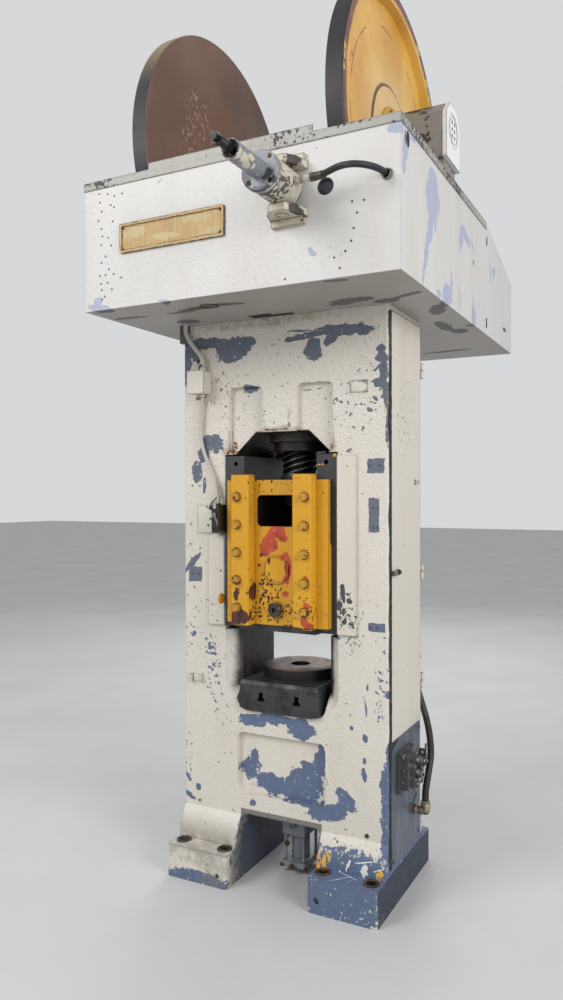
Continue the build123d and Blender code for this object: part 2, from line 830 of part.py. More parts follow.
# Side panels and the door
with BuildPart() as side_panels:
    with BuildSketch(yz(-col_half)):
        with Locations((0, (panel_bottom + door_top) / 2)):
            RectangleRounded(2 * 160, door_top - panel_bottom, 6)
    extrude(amount=-panel)
    with BuildSketch(yz(-col_half - panel)):
        with Locations((0, (panel_bottom + door_top) / 2)):
            with GridLocations(290, (door_top - panel_bottom - 40) / 4, 2, 5):
                Circle(7)
    extrude(amount=-4)
    with BuildSketch(yz(col_half)):
        with Locations(((door_front + door_back) / 2, (panel_bottom + door_bottom - 4) / 2)):
            RectangleRounded(door_back - door_front, door_bottom - 4 - panel_bottom, 4)
    extrude(amount=panel)
    with BuildSketch(yz(col_half + panel)):
        with Locations(((door_front + door_back) / 2, (panel_bottom + door_bottom - 4) / 2)):
            with GridLocations(door_back - door_front - 32, door_bottom - panel_bottom - 48, 2, 2):
                Circle(6)
    extrude(amount=4)
side_panels.part.label = "side_panels"
export_step(side_panels.part, "parts/side_panels.step")

door_x = col_half + door_gap
with BuildPart() as side_door:
    with BuildSketch(yz(door_x)):
        with Locations(((door_front + door_back) / 2, (door_bottom + door_top) / 2)):
            RectangleRounded(door_back - door_front, door_top - door_bottom, 4)
    extrude(amount=door_sheet)
    for z in hinge_zs:
        with BuildSketch(at(hinge_x, hinge_y, z)):
            Circle(hinge_r)
            Circle(hinge_pin_r + run_gap, mode=Mode.SUBTRACT)
        extrude(amount=hinge_knuckle)
        with BuildSketch(at(0, 0, z)):
            with Locations((door_x + door_sheet / 2, (door_back + hinge_y - hinge_r + 2) / 2)):
                Rectangle(door_sheet, hinge_y - hinge_r + 2 - door_back)
        extrude(amount=hinge_knuckle)
    with BuildSketch(yz(door_x + door_sheet)):
        with Locations((latch_y, latch_z)):
            Circle(latch_r)
        with Locations((knob_y, knob_z)):
            Circle(10)
    extrude(amount=3)
    with BuildSketch(yz(door_x + door_sheet + 3)):
        with Locations((knob_y, knob_z)):
            Circle(7)
    extrude(amount=12)
side_door.part.label = "side_door"
export_step(side_door.part, "parts/side_door.step")

with BuildPart() as door_hinges:
    for z in hinge_zs:
        with BuildSketch(at(hinge_x, hinge_y, z - hinge_knuckle - 1)):
            Circle(hinge_r)
        extrude(amount=hinge_knuckle)
        with BuildSketch(at(hinge_x, hinge_y, z - 1)):
            Circle(hinge_pin_r)
        extrude(amount=hinge_knuckle)
        with BuildSketch(at(0, 0, z - hinge_knuckle - 1)):
            with Locations(((400 + hinge_x - 3) / 2, col_deep + 2)):
                Rectangle(hinge_x - 3 - 400, 4)
        extrude(amount=hinge_knuckle)
door_hinges.part.label = "door_hinges"
export_step(door_hinges.part, "parts/door_hinges.step")

latch_x = door_x + door_sheet + 3 + slide_gap
with BuildPart() as door_latch:
    with BuildSketch(yz(latch_x)):
        with Locations((latch_y, latch_z)):
            Circle(latch_r)
        with Locations((latch_y - latch_reach / 2, latch_z)):
            Rectangle(latch_reach, latch_width)
    extrude(amount=latch_thick)
    with BuildSketch(yz(latch_x + latch_thick)):
        with Locations((latch_y - latch_reach + 12, latch_z)):
            Rectangle(20, latch_width)
        with Locations((latch_y, latch_z)):
            Circle(7)
    extrude(amount=6)
door_latch.part.label = "door_latch"
export_step(door_latch.part, "parts/door_latch.step")

# Friction discs on their shaft
shaft_axis = Axis((0, 0, disc_z), (1, 0, 0))


def ring_about_shaft(points):
    """Revolves an outline of (x, radius) points about the disc shaft."""
    with BuildPart() as ring:
        with BuildSketch(xz(0)):
            with BuildLine():
                Polyline([(x, disc_z + r) for x, r in points], close=True)
            make_face()
        revolve(axis=shaft_axis)
    return ring.part


def friction_disc(side):
    """One disc: a flat friction face towards the flywheel and a rim that stands out behind it."""
    x0, x1 = disc_in, disc_out
    outline = [
        (x0, shaft_r + seat_gap), (x0, disc_r - 3), (x0 + 3, disc_r), (x1 - 3, disc_r), (x1, disc_r - 3),
        (x1, disc_r - disc_rim), (x0 + disc_web, disc_r - disc_rim - 8), (x0 + disc_web, disc_band_r),
        (x0 + disc_web + disc_band, disc_band_r - 4), (x0 + disc_web + disc_band, disc_hub_r),
        (x0 + disc_web + disc_hub, disc_hub_r - 12), (x0 + disc_web + disc_hub, shaft_r + seat_gap),
    ]
    return ring_about_shaft([(side * x, r) for x, r in outline])


with BuildPart() as left_disc:
    add(friction_disc(-1))
left_disc.part.label = "left_disc"
export_step(left_disc.part, "parts/left_disc.step")

with BuildPart() as right_disc:
    add(friction_disc(1))
right_disc.part.label = "right_disc"
export_step(right_disc.part, "parts/right_disc.step")

shaft_step = sleeve_in - 12
shaft_end = sleeve_in + sleeve_length + 26
with BuildPart() as disc_shaft:
    add(ring_about_shaft([
        (shaft_left, 0), (shaft_left, shaft_r - 2), (shaft_left + 2, shaft_r), (shaft_step, shaft_r),
        (shaft_step, shaft_end_r), (shaft_end, shaft_end_r), (shaft_end, 0),
    ]))
disc_shaft.part.label = "disc_shaft"
export_step(disc_shaft.part, "parts/disc_shaft.step")

with BuildPart() as shaft_pulley:
    half = pulley_width / 2
    add(ring_about_shaft([
        (pulley_x - half, pulley_r), (pulley_x - half, pulley_r - pulley_rim),
        (pulley_x - pulley_web / 2, pulley_r - pulley_rim), (pulley_x - pulley_web / 2, pulley_hub_r),
        (pulley_x - half + 6, pulley_hub_r), (pulley_x - half + 6, shaft_r + seat_gap),
        (pulley_x + half - 6, shaft_r + seat_gap), (pulley_x + half - 6, pulley_hub_r),
        (pulley_x + pulley_web / 2, pulley_hub_r), (pulley_x + pulley_web / 2, pulley_r - pulley_rim),
        (pulley_x + half, pulley_r - pulley_rim), (pulley_x + half, pulley_r),
    ]))
shaft_pulley.part.label = "shaft_pulley"
export_step(shaft_pulley.part, "parts/shaft_pulley.step")

with BuildPart() as thrust_sleeve:
    add(ring_about_shaft([
        (sleeve_in, shaft_end_r + run_gap), (sleeve_in, sleeve_r - run_gap),
        (sleeve_in + sleeve_length, sleeve_r - run_gap), (sleeve_in + sleeve_length, shaft_end_r + run_gap),
    ]))
thrust_sleeve.part.label = "thrust_sleeve"
export_step(thrust_sleeve.part, "parts/thrust_sleeve.step")

with BuildPart() as shaft_nut:
    with BuildSketch(yz(sleeve_in + sleeve_length + touch_gap)):
        with Locations((0, disc_z)):
            RegularPolygon(50, 6)
            Circle(shaft_end_r + seat_gap, mode=Mode.SUBTRACT)
    extrude(amount=16)
shaft_nut.part.label = "shaft_nut"
export_step(shaft_nut.part, "parts/shaft_nut.step")


def bearing_housing(x_in, x_out, bore_r):
    """A cast bearing block on a webbed foot that stands on the head's edge."""
    side = 1 if x_out > 0 else -1
    width = abs(x_out - x_in)
    foot_z = head_top + lid
    with BuildPart() as housing:
        with BuildSketch(yz(x_in)):
            with Locations((0, (housing_bottom + housing_top) / 2)):
                Rectangle(2 * housing_deep, housing_top - housing_bottom)
            chamfer(vertices().group_by(Axis.Y)[-1], housing_chamfer)
            with Locations((0, (foot_z + housing_bottom) / 2)):
                Rectangle(2 * housing_deep - 30, housing_bottom - foot_z)
        extrude(amount=side * width)
        with BuildSketch(at((x_in + x_out) / 2, 0, foot_z)):
            RectangleRounded(width - 4, 2 * pedestal_half, 8)
        extrude(amount=pedestal_foot)
        with BuildSketch(yz(x_in)):
            with Locations((0, disc_z)):
                Circle(bore_r)
        extrude(amount=side * width, mode=Mode.SUBTRACT)
    return housing.part


with BuildPart() as right_bearing_housing:
    add(bearing_housing(right_housing_in, right_housing_out, sleeve_r))
right_bearing_housing.part.label = "right_bearing_housing"
export_step(right_bearing_housing.part, "parts/right_bearing_housing.step")

with BuildPart() as left_bearing_housing:
    add(bearing_housing(left_housing_in, left_housing_out, shaft_r + run_gap))
left_bearing_housing.part.label = "left_bearing_housing"
export_step(left_bearing_housing.part, "parts/left_bearing_housing.step")

with BuildPart() as bearing_end_cover:
    with BuildSketch(yz(right_housing_out)):
        with Locations((0, (housing_bottom + housing_top) / 2)):
            Rectangle(2 * housing_deep, housing_top - housing_bottom)
        chamfer(vertices().group_by(Axis.Y)[-1], housing_chamfer)
    extrude(amount=end_cover)
    with BuildSketch(yz(right_housing_out + end_cover)):
        with Locations((0, disc_z)):
            Circle(54)
            Circle(46, mode=Mode.SUBTRACT)
    extrude(amount=-2, mode=Mode.SUBTRACT)
    with BuildSketch(yz(right_housing_out)):
        with Locations((0, disc_z)):
            Circle(sleeve_r - 12)
    extrude(amount=10, mode=Mode.SUBTRACT)
bearing_end_cover.part.label = "bearing_end_cover"
export_step(bearing_end_cover.part, "parts/bearing_end_cover.step")

# Motor and belt drive in the rear of the head
motor_axis = Axis((0, motor_y, motor_z), (1, 0, 0))
motor_foot_z = col_top + head_floor + motor_rail
with BuildPart() as motor:
    with BuildSketch(yz(motor_left)):
        with Locations((motor_y, motor_z)):
            Circle(motor_r - fin_height)
            with PolarLocations(motor_r - fin_height, motor_fins):
                Rectangle(2 * fin_height, fin_thick)
    extrude(amount=motor_right - motor_left)
    with BuildSketch(yz(motor_left)):
        with Locations((motor_y, motor_z)):
            Circle(motor_r)
    extrude(amount=22)
    with BuildSketch(yz(motor_right)):
        with Locations((motor_y, motor_z)):
            Circle(motor_r)
    extrude(amount=-58)
    with BuildSketch(Plane.XY.offset(motor_foot_z)):
        with Locations(((motor_left + motor_right) / 2, motor_y)):
            Rectangle(180, 2 * motor_base_half - 20)
    extrude(amount=14)
    with BuildSketch(Plane.XY.offset(motor_foot_z)):
        with Locations(((motor_left + motor_right) / 2, motor_y)):
            with GridLocations(160, 150, 2, 2):
                Rectangle(20, 16)
    extrude(amount=80)
    with BuildSketch(Plane.XY.offset(motor_z)):
        with Locations((motor_left + 120, motor_y)):
            RectangleRounded(90, 90, 8)
    extrude(amount=motor_r + 32)
    with BuildSketch(yz(motor_left)):
        with Locations((motor_y, motor_z)):
            Circle(motor_shaft_r + run_gap)
    extrude(amount=120, mode=Mode.SUBTRACT)
motor.part.label = "motor"
export_step(motor.part, "parts/motor.step")

with BuildPart() as motor_rotor:
    with BuildSketch(xz(motor_y)):
        with BuildLine():
            half = pulley_width / 2
            Polyline(
                (pulley_x - half, motor_z), (pulley_x - half, motor_z + motor_pulley_r),
                (pulley_x + half, motor_z + motor_pulley_r), (pulley_x + half, motor_z + motor_shaft_r),
                (motor_left + 110, motor_z + motor_shaft_r), (motor_left + 110, motor_z), close=True,
            )
        make_face()
    revolve(axis=motor_axis)
motor_rotor.part.label = "motor_rotor"
export_step(motor_rotor.part, "parts/motor_rotor.step")


def belt_outline(grow):
    """The loop of a flat belt round both pulleys, at a distance from their faces."""
    big, small = pulley_r + grow, motor_pulley_r + grow
    centre, far = Vector(0, disc_z), Vector(motor_y, motor_z)
    span = far - centre
    lean = degrees(asin((big - small) / span.length))
    along = span.normalized()
    up, down = along.rotate(Axis.Z, 90 - lean), along.rotate(Axis.Z, lean - 90)
    Line(centre + up * big, far + up * small)
    ThreePointArc(far + up * small, far + along * small, far + down * small)
    Line(far + down * small, centre + down * big)
    ThreePointArc(centre + down * big, centre - along * big, centre + up * big)


with BuildPart() as drive_belt:
    with BuildSketch(yz(pulley_x - belt_width / 2)):
        with BuildLine():
            belt_outline(touch_gap + belt)
        make_face()
        with BuildLine():
            belt_outline(touch_gap)
        make_face(mode=Mode.SUBTRACT)
    extrude(amount=belt_width)
drive_belt.part.label = "drive_belt"
export_step(drive_belt.part, "parts/drive_belt.step")

# Brake: a cylinder on the head's front pushes a lever, and the lever's shoe meets the flywheel
with BuildPart() as brake_cylinder:
    with BuildSketch(xz(barrel_front)):
        with Locations((brake_x, brake_z)):
            Circle(barrel_r)
    extrude(amount=barrel_front - barrel_back)
    chamfer(brake_cylinder.faces().sort_by(Axis.Y)[-1].edges(), 10)
    with BuildSketch(Plane.XY.offset(brake_z)):
        with Locations((brake_x, trunnion_y)):
            Circle(trunnion_r)
    extrude(amount=barrel_r + trunnion_gap + bracket_thick, both=True)
    with BuildSketch(yz(brake_x)):
        with Locations((fitting_y, brake_z)):
            Circle(13)
    extrude(amount=barrel_r + 6)
    with BuildSketch(yz(brake_x + barrel_r + 6)):
        with Locations((fitting_y, brake_z)):
            RegularPolygon(11, 6, major_radius=False)
    extrude(amount=16)
    with BuildSketch(yz(brake_x + barrel_r + 22)):
        with Locations((fitting_y, brake_z)):
            Circle(8)
    extrude(amount=8)
    with BuildSketch(yz(brake_x + barrel_r + 30)):
        with Locations((fitting_y, brake_z)):
            Circle(12)
    extrude(amount=fitting_x - brake_x - barrel_r - 30)
    with BuildSketch(xz(barrel_front)):
        with Locations((brake_x, brake_z)):
            Circle(rod_r + 1)
    extrude(amount=barrel_front - barrel_back, mode=Mode.SUBTRACT)
brake_cylinder.part.label = "brake_cylinder"
export_step(brake_cylinder.part, "parts/brake_cylinder.step")

with BuildPart() as cylinder_cap:
    with BuildSketch(xz(barrel_front)):
        with Locations((brake_x, brake_z)):
            Circle(cap_r)
    extrude(amount=cap_thick)
    chamfer(cylinder_cap.faces().sort_by(Axis.Y)[0].edges(), 4)
    with BuildSketch(xz(barrel_front - cap_thick)):
        with Locations((brake_x, brake_z)):
            with PolarLocations(50, 4, 45):
                Circle(9)
    extrude(amount=-10, mode=Mode.SUBTRACT)
    with BuildSketch(xz(barrel_front - cap_thick)):
        with Locations((brake_x, brake_z)):
            Circle(tube_r)
    extrude(amount=barrel_front - cap_thick - tube_front)
    with BuildSketch(xz(tube_front)):
        with Locations((brake_x, brake_z)):
            Circle(tube_r - 6)
    extrude(amount=-30, mode=Mode.SUBTRACT)
    with BuildSketch(xz(tube_front)):
        with Locations((brake_x, brake_z)):
            Circle(rod_r + 1)
    extrude(amount=-(barrel_front - tube_front), mode=Mode.SUBTRACT)
cylinder_cap.part.label = "cylinder_cap"
export_step(cylinder_cap.part, "parts/cylinder_cap.step")

with BuildPart() as cap_screws:
    with BuildSketch(xz(barrel_front - cap_thick + 10)):
        with Locations((brake_x, brake_z)):
            with PolarLocations(50, 4, 45):
                Circle(8)
    extrude(amount=7)
    with BuildSketch(xz(barrel_front - cap_thick + 3)):
        with Locations((brake_x, brake_z)):
            with PolarLocations(50, 4, 45):
                RegularPolygon(4, 6, major_radius=False)
    extrude(amount=-5, mode=Mode.SUBTRACT)
cap_screws.part.label = "cap_screws"
export_step(cap_screws.part, "parts/cap_screws.step")

rod_back = lever_y - lever_half - touch_gap
with BuildPart() as brake_rod:
    with BuildSketch(xz(rod_front)):
        with Locations((brake_x, brake_z)):
            Circle(rod_r)
    extrude(amount=rod_front - rod_back)
    fillet(brake_rod.faces().sort_by(Axis.Y)[-1].edges(), rod_r - 1)
    for start, length in ((rod_front + 16, 12), (tube_front - 26, 20)):
        with BuildSketch(xz(start + length)):
            with Locations((brake_x, brake_z)):
                RegularPolygon(nut_size / 2, 6, major_radius=False, rotation=8)
        extrude(amount=length)
brake_rod.part.label = "brake_rod"
export_step(brake_rod.part, "parts/brake_rod.step")


def trunnion_bracket(side):
    """A cast ear on the head's front that holds the cylinder's trunnion, above or below it."""
    z_in = brake_z + side * (barrel_r + trunnion_gap / 2)
    with BuildPart() as ear:
        with BuildSketch(Plane.XY.offset(z_in)):
            with BuildLine():
                Polyline(
                    (brake_x - bracket_width / 2 - 8, head_front), (brake_x + bracket_width / 2 + 8, head_front),
                    (brake_x + bracket_width / 2 - 10, bracket_out + 30),
                    (brake_x + bracket_width / 2 - 34, bracket_out),
                    (brake_x - bracket_width / 2 + 34, bracket_out),
                    (brake_x - bracket_width / 2 + 10, bracket_out + 30), close=True,
                )
            make_face()
        extrude(amount=side * bracket_thick)
        with BuildSketch(xz(head_front)):
            with Locations((brake_x, z_in + side * bracket_thick)):
                Rectangle(bracket_width, 2 * bracket_thick - 4)
        extrude(amount=14)
        with BuildSketch(Plane.XY.offset(z_in)):
            with Locations((brake_x, trunnion_y)):
                Circle(trunnion_r + run_gap)
        extrude(amount=side * bracket_thick, mode=Mode.SUBTRACT)
    return ear.part


with BuildPart() as trunnion_brackets:
    add(trunnion_bracket(-1))
    add(trunnion_bracket(1))
trunnion_brackets.part.label = "trunnion_brackets"
export_step(trunnion_brackets.part, "parts/trunnion_brackets.step")

# The shoe's face fits the flywheel once the lever has turned through brake_turn
turn = radians(brake_turn)
back_x = lever_x + (0 - lever_x) * cos(turn) + (0 - lever_y) * sin(turn)
back_y = lever_y - (0 - lever_x) * sin(turn) + (0 - lever_y) * cos(turn)
shoe_r = fly_r + brake_clear
with BuildPart() as brake_lever:
    with BuildSketch(Plane.XY.offset(brake_z - lever_height / 2)):
        with Locations(((lever_x + lever_tip_x) / 2, lever_y)):
            Rectangle(lever_tip_x - lever_x, 2 * lever_half)
        with Locations((lever_x, lever_y)):
            Circle(lever_eye_r)
        with Locations(((shoe_from + shoe_to) / 2, lever_y + 60)):
            Rectangle(shoe_to - shoe_from, 130)
        with Locations((back_x, back_y)):
            Circle(shoe_r + shoe_thick, mode=Mode.SUBTRACT)
        with Locations((lever_x, lever_y)):
            Circle(lever_pin_r + run_gap, mode=Mode.SUBTRACT)
    extrude(amount=lever_height)
brake_lever.part.label = "brake_lever"
export_step(brake_lever.part, "parts/brake_lever.step")

with BuildPart() as brake_shoe:
    with BuildSketch(Plane.XY.offset(brake_z - shoe_height / 2)):
        with Locations(((shoe_from + shoe_to) / 2, lever_y + 105)):
            Rectangle(shoe_to - shoe_from, 190)
        with Locations((back_x, back_y)):
            Circle(shoe_r + shoe_thick - seat_gap, mode=Mode.INTERSECT)
            Circle(shoe_r, mode=Mode.SUBTRACT)
    extrude(amount=shoe_height)
brake_shoe.part.label = "brake_shoe"
export_step(brake_shoe.part, "parts/brake_shoe.step")

with BuildPart() as lever_bracket:
    with BuildSketch(Plane.XY.offset(col_top + head_floor)):
        with Locations((lever_x, lever_y)):
            RectangleRounded(110, 110, 8)
    extrude(amount=16)
    with BuildSketch(Plane.XY.offset(col_top + head_floor)):
        with Locations((lever_x, lever_y)):
            Circle(30)
    extrude(amount=brake_z - lever_height / 2 - slide_gap - col_top - head_floor)
    with BuildSketch(Plane.XY.offset(col_top + head_floor)):
        with Locations((lever_x, lever_y)):
            Circle(lever_pin_r)
    extrude(amount=brake_z + lever_height / 2 + 10 - col_top - head_floor)
lever_bracket.part.label = "lever_bracket"
export_step(lever_bracket.part, "parts/lever_bracket.step")


def tube(points, radius):
    """A round tube along straight runs that are joined by tangent arcs as large as the runs allow."""
    runs = [Vector(*b) - Vector(*a) for a, b in zip(points, points[1:])]
    radii = []
    for before, after in zip(runs, runs[1:]):
        half_turn = radians(before.get_angle(after)) / 2
        radii.append(0.45 * min(before.length, after.length) / tan(half_turn))
    print("bend radii", [round(r) for r in radii], "for a tube of radius", radius)
    with BuildPart() as pipe:
        with BuildLine():
            FilletPolyline(*points, radius=radii)
        with BuildSketch(Plane(origin=points[0], z_dir=runs[0])):
            Circle(radius)
        sweep()
    return pipe.part


cylinder_hose_points = [
    (fitting_x, fitting_y, brake_z), (384, fitting_y, brake_z), (418, -656, 2469), (456, -671, 2471),
    (497, -670, 2471), (531, -648, 2470), (553, -611, 2470), (562, -575, 2470), (562, -545, 2470),
]
with BuildPart() as cylinder_hose:
    add(tube(cylinder_hose_points, 10))
cylinder_hose.part.label = "cylinder_hose"
export_step(cylinder_hose.part, "parts/cylinder_hose.step")

# Wiring on the column's front
with BuildPart() as junction_box:
    with BuildSketch(xz(-col_deep)):
        with Locations(((box_left + box_right) / 2, (box_bottom + box_top) / 2)):
            RectangleRounded(box_right - box_left, box_top - box_bottom, 4)
    extrude(amount=box_deep)
    with BuildSketch(xz(-col_deep - box_deep)):
        with Locations(((box_left + box_right) / 2, (box_bottom + box_top) / 2)):
            RectangleRounded(box_right - box_left + 4, box_top - box_bottom + 4, 5)
    extrude(amount=6)
    with BuildSketch(Plane.XY.offset(box_top)):
        with Locations((-330, -205)):
            Circle(13)
    extrude(amount=14)
    with BuildSketch(Plane.XY.offset(box_bottom)):
        with Locations((-338, -198)):
            Circle(13)
    extrude(amount=-12)
junction_box.part.label = "junction_box"
export_step(junction_box.part, "parts/junction_box.step")

conduit_points = [
    (-412, -200, col_top), (-412, -200, 2142), (-392, -200, 2104), (-362, -202, 2070), (-330, -205, 2036),
    (-330, -205, box_top + 14),
]
with BuildPart() as conduit:
    add(tube(conduit_points, 9))
conduit.part.label = "conduit"
export_step(conduit.part, "parts/conduit.step")

switch_cable_points = [
    (-338, -198, box_bottom - 12), (-338, -198, 1856), (-345, -196, 1800), (-347, -195, 1742),
    (-338, -195, 1684), (-316, -195, 1628), (-288, -196, 1574), (-268, -200, 1522), (switch_x, -203, 1482),
    (switch_x, -203, 1460),
]
with BuildPart() as switch_cable:
    add(tube(switch_cable_points, 7))
switch_cable.part.label = "switch_cable"
export_step(switch_cable.part, "parts/switch_cable.step")

switch_back = -col_deep
with BuildPart() as limit_switch:
    with BuildSketch(xz(switch_back)):
        with Locations((switch_x, (switch_bottom + switch_top) / 2)):
            RectangleRounded(2 * switch_half, switch_top - switch_bottom, 3)
    extrude(amount=switch_deep)
    with BuildSketch(xz(switch_back - switch_deep)):
        with Locations((switch_x, switch_top - 24)):
            Circle(13)
    extrude(amount=7)
    with BuildSketch(Plane.XY.offset(switch_top)):
        with Locations((switch_x, -203)):
            Circle(11)
    extrude(amount=1460 - switch_top)
limit_switch.part.label = "limit_switch"
export_step(limit_switch.part, "parts/limit_switch.step")

lever_front = switch_back - switch_deep - 7 - slide_gap
roller_x = rail_x - roller_r - touch_gap
roller_z = switch_top - 24 - 34
with BuildPart() as switch_lever:
    with BuildSketch(xz(lever_front)):
        with Locations((switch_x, switch_top - 24)):
            Circle(9)
        with BuildLine():
            Polyline(
                (switch_x - 5, switch_top - 24), (roller_x - 5, roller_z), (roller_x + 5, roller_z),
                (switch_x + 5, switch_top - 24), close=True,
            )
        make_face()
        with Locations((roller_x, roller_z)):
            Circle(6)
    extrude(amount=5)
    with BuildSketch(xz(lever_front)):
        with Locations((roller_x, roller_z)):
            Circle(roller_r)
    extrude(amount=-6)
switch_lever.part.label = "switch_lever"
export_step(switch_lever.part, "parts/switch_lever.step")

# Air fittings on the lower side panel
panel_x = col_half + panel
with BuildPart() as valve_block:
    with BuildSketch(yz(panel_x)):
        with Locations((-40, 480)):
            RectangleRounded(150, 150, 5)
    extrude(amount=12)
    with BuildSketch(yz(panel_x + 12)):
        with Locations((-62, 480)):
            RectangleRounded(74, 126, 4)
    extrude(amount=30)
    with BuildSketch(yz(panel_x + 12)):
        with Locations((-8, 505), (-8, 455)):
            Circle(17)
    extrude(amount=44)
    with BuildSketch(yz(panel_x + 42)):
        with Locations((-62, 525), (-62, 480), (-62, 435)):
            Circle(14)
    extrude(amount=12)
valve_block.part.label = "valve_block"
export_step(valve_block.part, "parts/valve_block.step")

valve_y = 78
valve_z = 478
valve_base = 20
valve_body = 30
with BuildPart() as stop_valve:
    with BuildSketch(yz(panel_x)):
        with Locations((valve_y, valve_z)):
            Circle(16)
    extrude(amount=valve_base)
    with BuildSketch(yz(panel_x + valve_base)):
        with Locations((valve_y, valve_z)):
            RegularPolygon(23, 6)
    extrude(amount=valve_body)
    valve_mid = (panel_x + valve_base + valve_body / 2, valve_y, valve_z)
    with BuildSketch(Plane(origin=valve_mid, x_dir=(1, 0, 0), z_dir=(0, 0.3, 0.95))):
        Circle(12)
    extrude(amount=44, both=True)
stop_valve.part.label = "stop_valve"
export_step(stop_valve.part, "parts/stop_valve.step")

handle_x = panel_x + valve_base + valve_body + slide_gap
with BuildPart() as valve_handle:
    with BuildSketch(yz(handle_x)):
        with Locations((valve_y, valve_z)):
            Circle(11)
        with Locations((valve_y, valve_z + 30)):
            RectangleRounded(14, 74, 5)
    extrude(amount=5)
    with BuildSketch(yz(handle_x + 5)):
        with Locations((valve_y, valve_z)):
            RegularPolygon(7, 6)
    extrude(amount=5)
valve_handle.part.label = "valve_handle"
export_step(valve_handle.part, "parts/valve_handle.step")

elbow_x = 494
elbow_y = 66
elbow_z = 292
union_x = 398
union_y = 232
union_z = 800
with BuildPart() as hose_fittings:
    with BuildSketch(yz(panel_x)):
        with Locations((elbow_y, elbow_z)):
            RegularPolygon(18, 6)
    extrude(amount=14)
    with BuildSketch(yz(panel_x + 14)):
        with Locations((elbow_y, elbow_z)):
            Circle(14)
    extrude(amount=elbow_x - panel_x - 14)
    with Locations((elbow_x, elbow_y, elbow_z)):
        Sphere(16)
    with BuildSketch(at(elbow_x, elbow_y, elbow_z)):
        Circle(14)
    extrude(amount=26)
    with BuildSketch(at(elbow_x, elbow_y, elbow_z + 26)):
        RegularPolygon(18, 6)
    extrude(amount=14)
    with BuildSketch(at(union_x, union_y, union_z)):
        RegularPolygon(18, 6)
    extrude(amount=16)
    with BuildSketch(at(union_x, union_y, union_z + 16)):
        Circle(14)
    extrude(amount=28)
    with BuildSketch(xz(union_y)):
        with Locations((union_x, union_z + 30)):
            Circle(12)
    extrude(amount=col_deep - union_y)
hose_fittings.part.label = "hose_fittings"
export_step(hose_fittings.part, "parts/hose_fittings.step")

air_hose_points = [
    (elbow_x, elbow_y, elbow_z + 40), (elbow_x, elbow_y, 366), (497, 90, 424), (497, 130, 482),
    (479, 176, 543), (451, 216, 606), (422, 230, 676), (400, 233, 742), (union_x, union_y, 776),
    (union_x, union_y, union_z),
]
with BuildPart() as air_hose:
    add(tube(air_hose_points, 13))
air_hose.part.label = "air_hose"
export_step(air_hose.part, "parts/air_hose.step")
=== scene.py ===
import json
import math
import random

import bmesh
import bpy
from mathutils import Matrix, Vector


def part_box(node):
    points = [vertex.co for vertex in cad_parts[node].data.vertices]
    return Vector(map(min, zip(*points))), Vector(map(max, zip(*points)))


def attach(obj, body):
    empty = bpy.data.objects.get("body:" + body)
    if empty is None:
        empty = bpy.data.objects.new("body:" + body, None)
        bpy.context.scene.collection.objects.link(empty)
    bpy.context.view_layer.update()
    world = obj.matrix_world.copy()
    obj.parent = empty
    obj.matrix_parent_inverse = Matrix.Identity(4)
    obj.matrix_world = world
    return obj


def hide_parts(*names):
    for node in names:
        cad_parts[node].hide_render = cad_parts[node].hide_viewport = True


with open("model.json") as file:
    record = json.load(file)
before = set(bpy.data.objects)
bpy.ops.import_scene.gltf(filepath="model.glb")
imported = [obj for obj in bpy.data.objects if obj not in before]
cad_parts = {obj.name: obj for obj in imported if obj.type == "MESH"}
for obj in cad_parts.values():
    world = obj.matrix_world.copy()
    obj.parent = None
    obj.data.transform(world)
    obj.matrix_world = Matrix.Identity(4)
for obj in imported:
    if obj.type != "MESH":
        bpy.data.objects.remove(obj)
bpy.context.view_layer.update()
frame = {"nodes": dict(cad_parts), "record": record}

nodes = frame["nodes"]

# ---------------------------------------------------------------- camera

PICTURE = (563, 1000)
FOCAL_PX = 790.952
CAMERA_AT = Vector((1.38642, -2.84466, 1.5))
YAW, PITCH, ROLL = 0.47737, -0.008875, -0.00219


def make_camera():
    forward = Vector((-math.sin(YAW) * math.cos(PITCH), math.cos(YAW) * math.cos(PITCH), math.sin(PITCH)))
    right = Vector((math.cos(YAW), math.sin(YAW), 0.0))
    up = right.cross(forward)
    turned_right = math.cos(ROLL) * right + math.sin(ROLL) * up
    turned_up = -math.sin(ROLL) * right + math.cos(ROLL) * up
    data = bpy.data.cameras.new("camera")
    data.sensor_fit = "VERTICAL"
    data.sensor_height = 24.0
    data.lens = 24.0 * FOCAL_PX / PICTURE[1]
    data.clip_end = 100.0
    data.clip_start = 0.05
    camera = bpy.data.objects.new("camera", data)
    turn = Matrix((turned_right, turned_up, -forward)).transposed()
    camera.matrix_world = Matrix.Translation(CAMERA_AT) @ turn.to_4x4()
    bpy.context.scene.collection.objects.link(camera)
    bpy.context.scene.camera = camera


make_camera()
bpy.context.scene.view_settings.view_transform = "Standard"


# ---------------------------------------------------------------- colours

def srgb(red, green, blue):
    """A colour of 0-255 values as linear RGBA."""
    out = []
    for value in (red, green, blue):
        v = value / 255
        out.append(v / 12.92 if v <= 0.04045 else ((v + 0.055) / 1.055) ** 2.4)
    return (*out, 1.0)


CREAM = srgb(216, 210, 199)
HEAD_WHITE = srgb(213, 210, 207)
DOOR_CREAM = srgb(214, 207, 194)
BED_BLUE = srgb(92, 108, 138)
FOOT_BLUE = srgb(85, 96, 122)
PANEL_BLUE = srgb(84, 92, 106)
SLATE = srgb(70, 74, 82)
YELLOW = srgb(214, 158, 34)
PRIMER_RED = srgb(190, 76, 44)
GOLD = srgb(216, 176, 98)
BLACK = srgb(30, 29, 30)
BARE_STEEL = srgb(122, 118, 112)


# ---------------------------------------------------------------- materials

REACH = 3.0


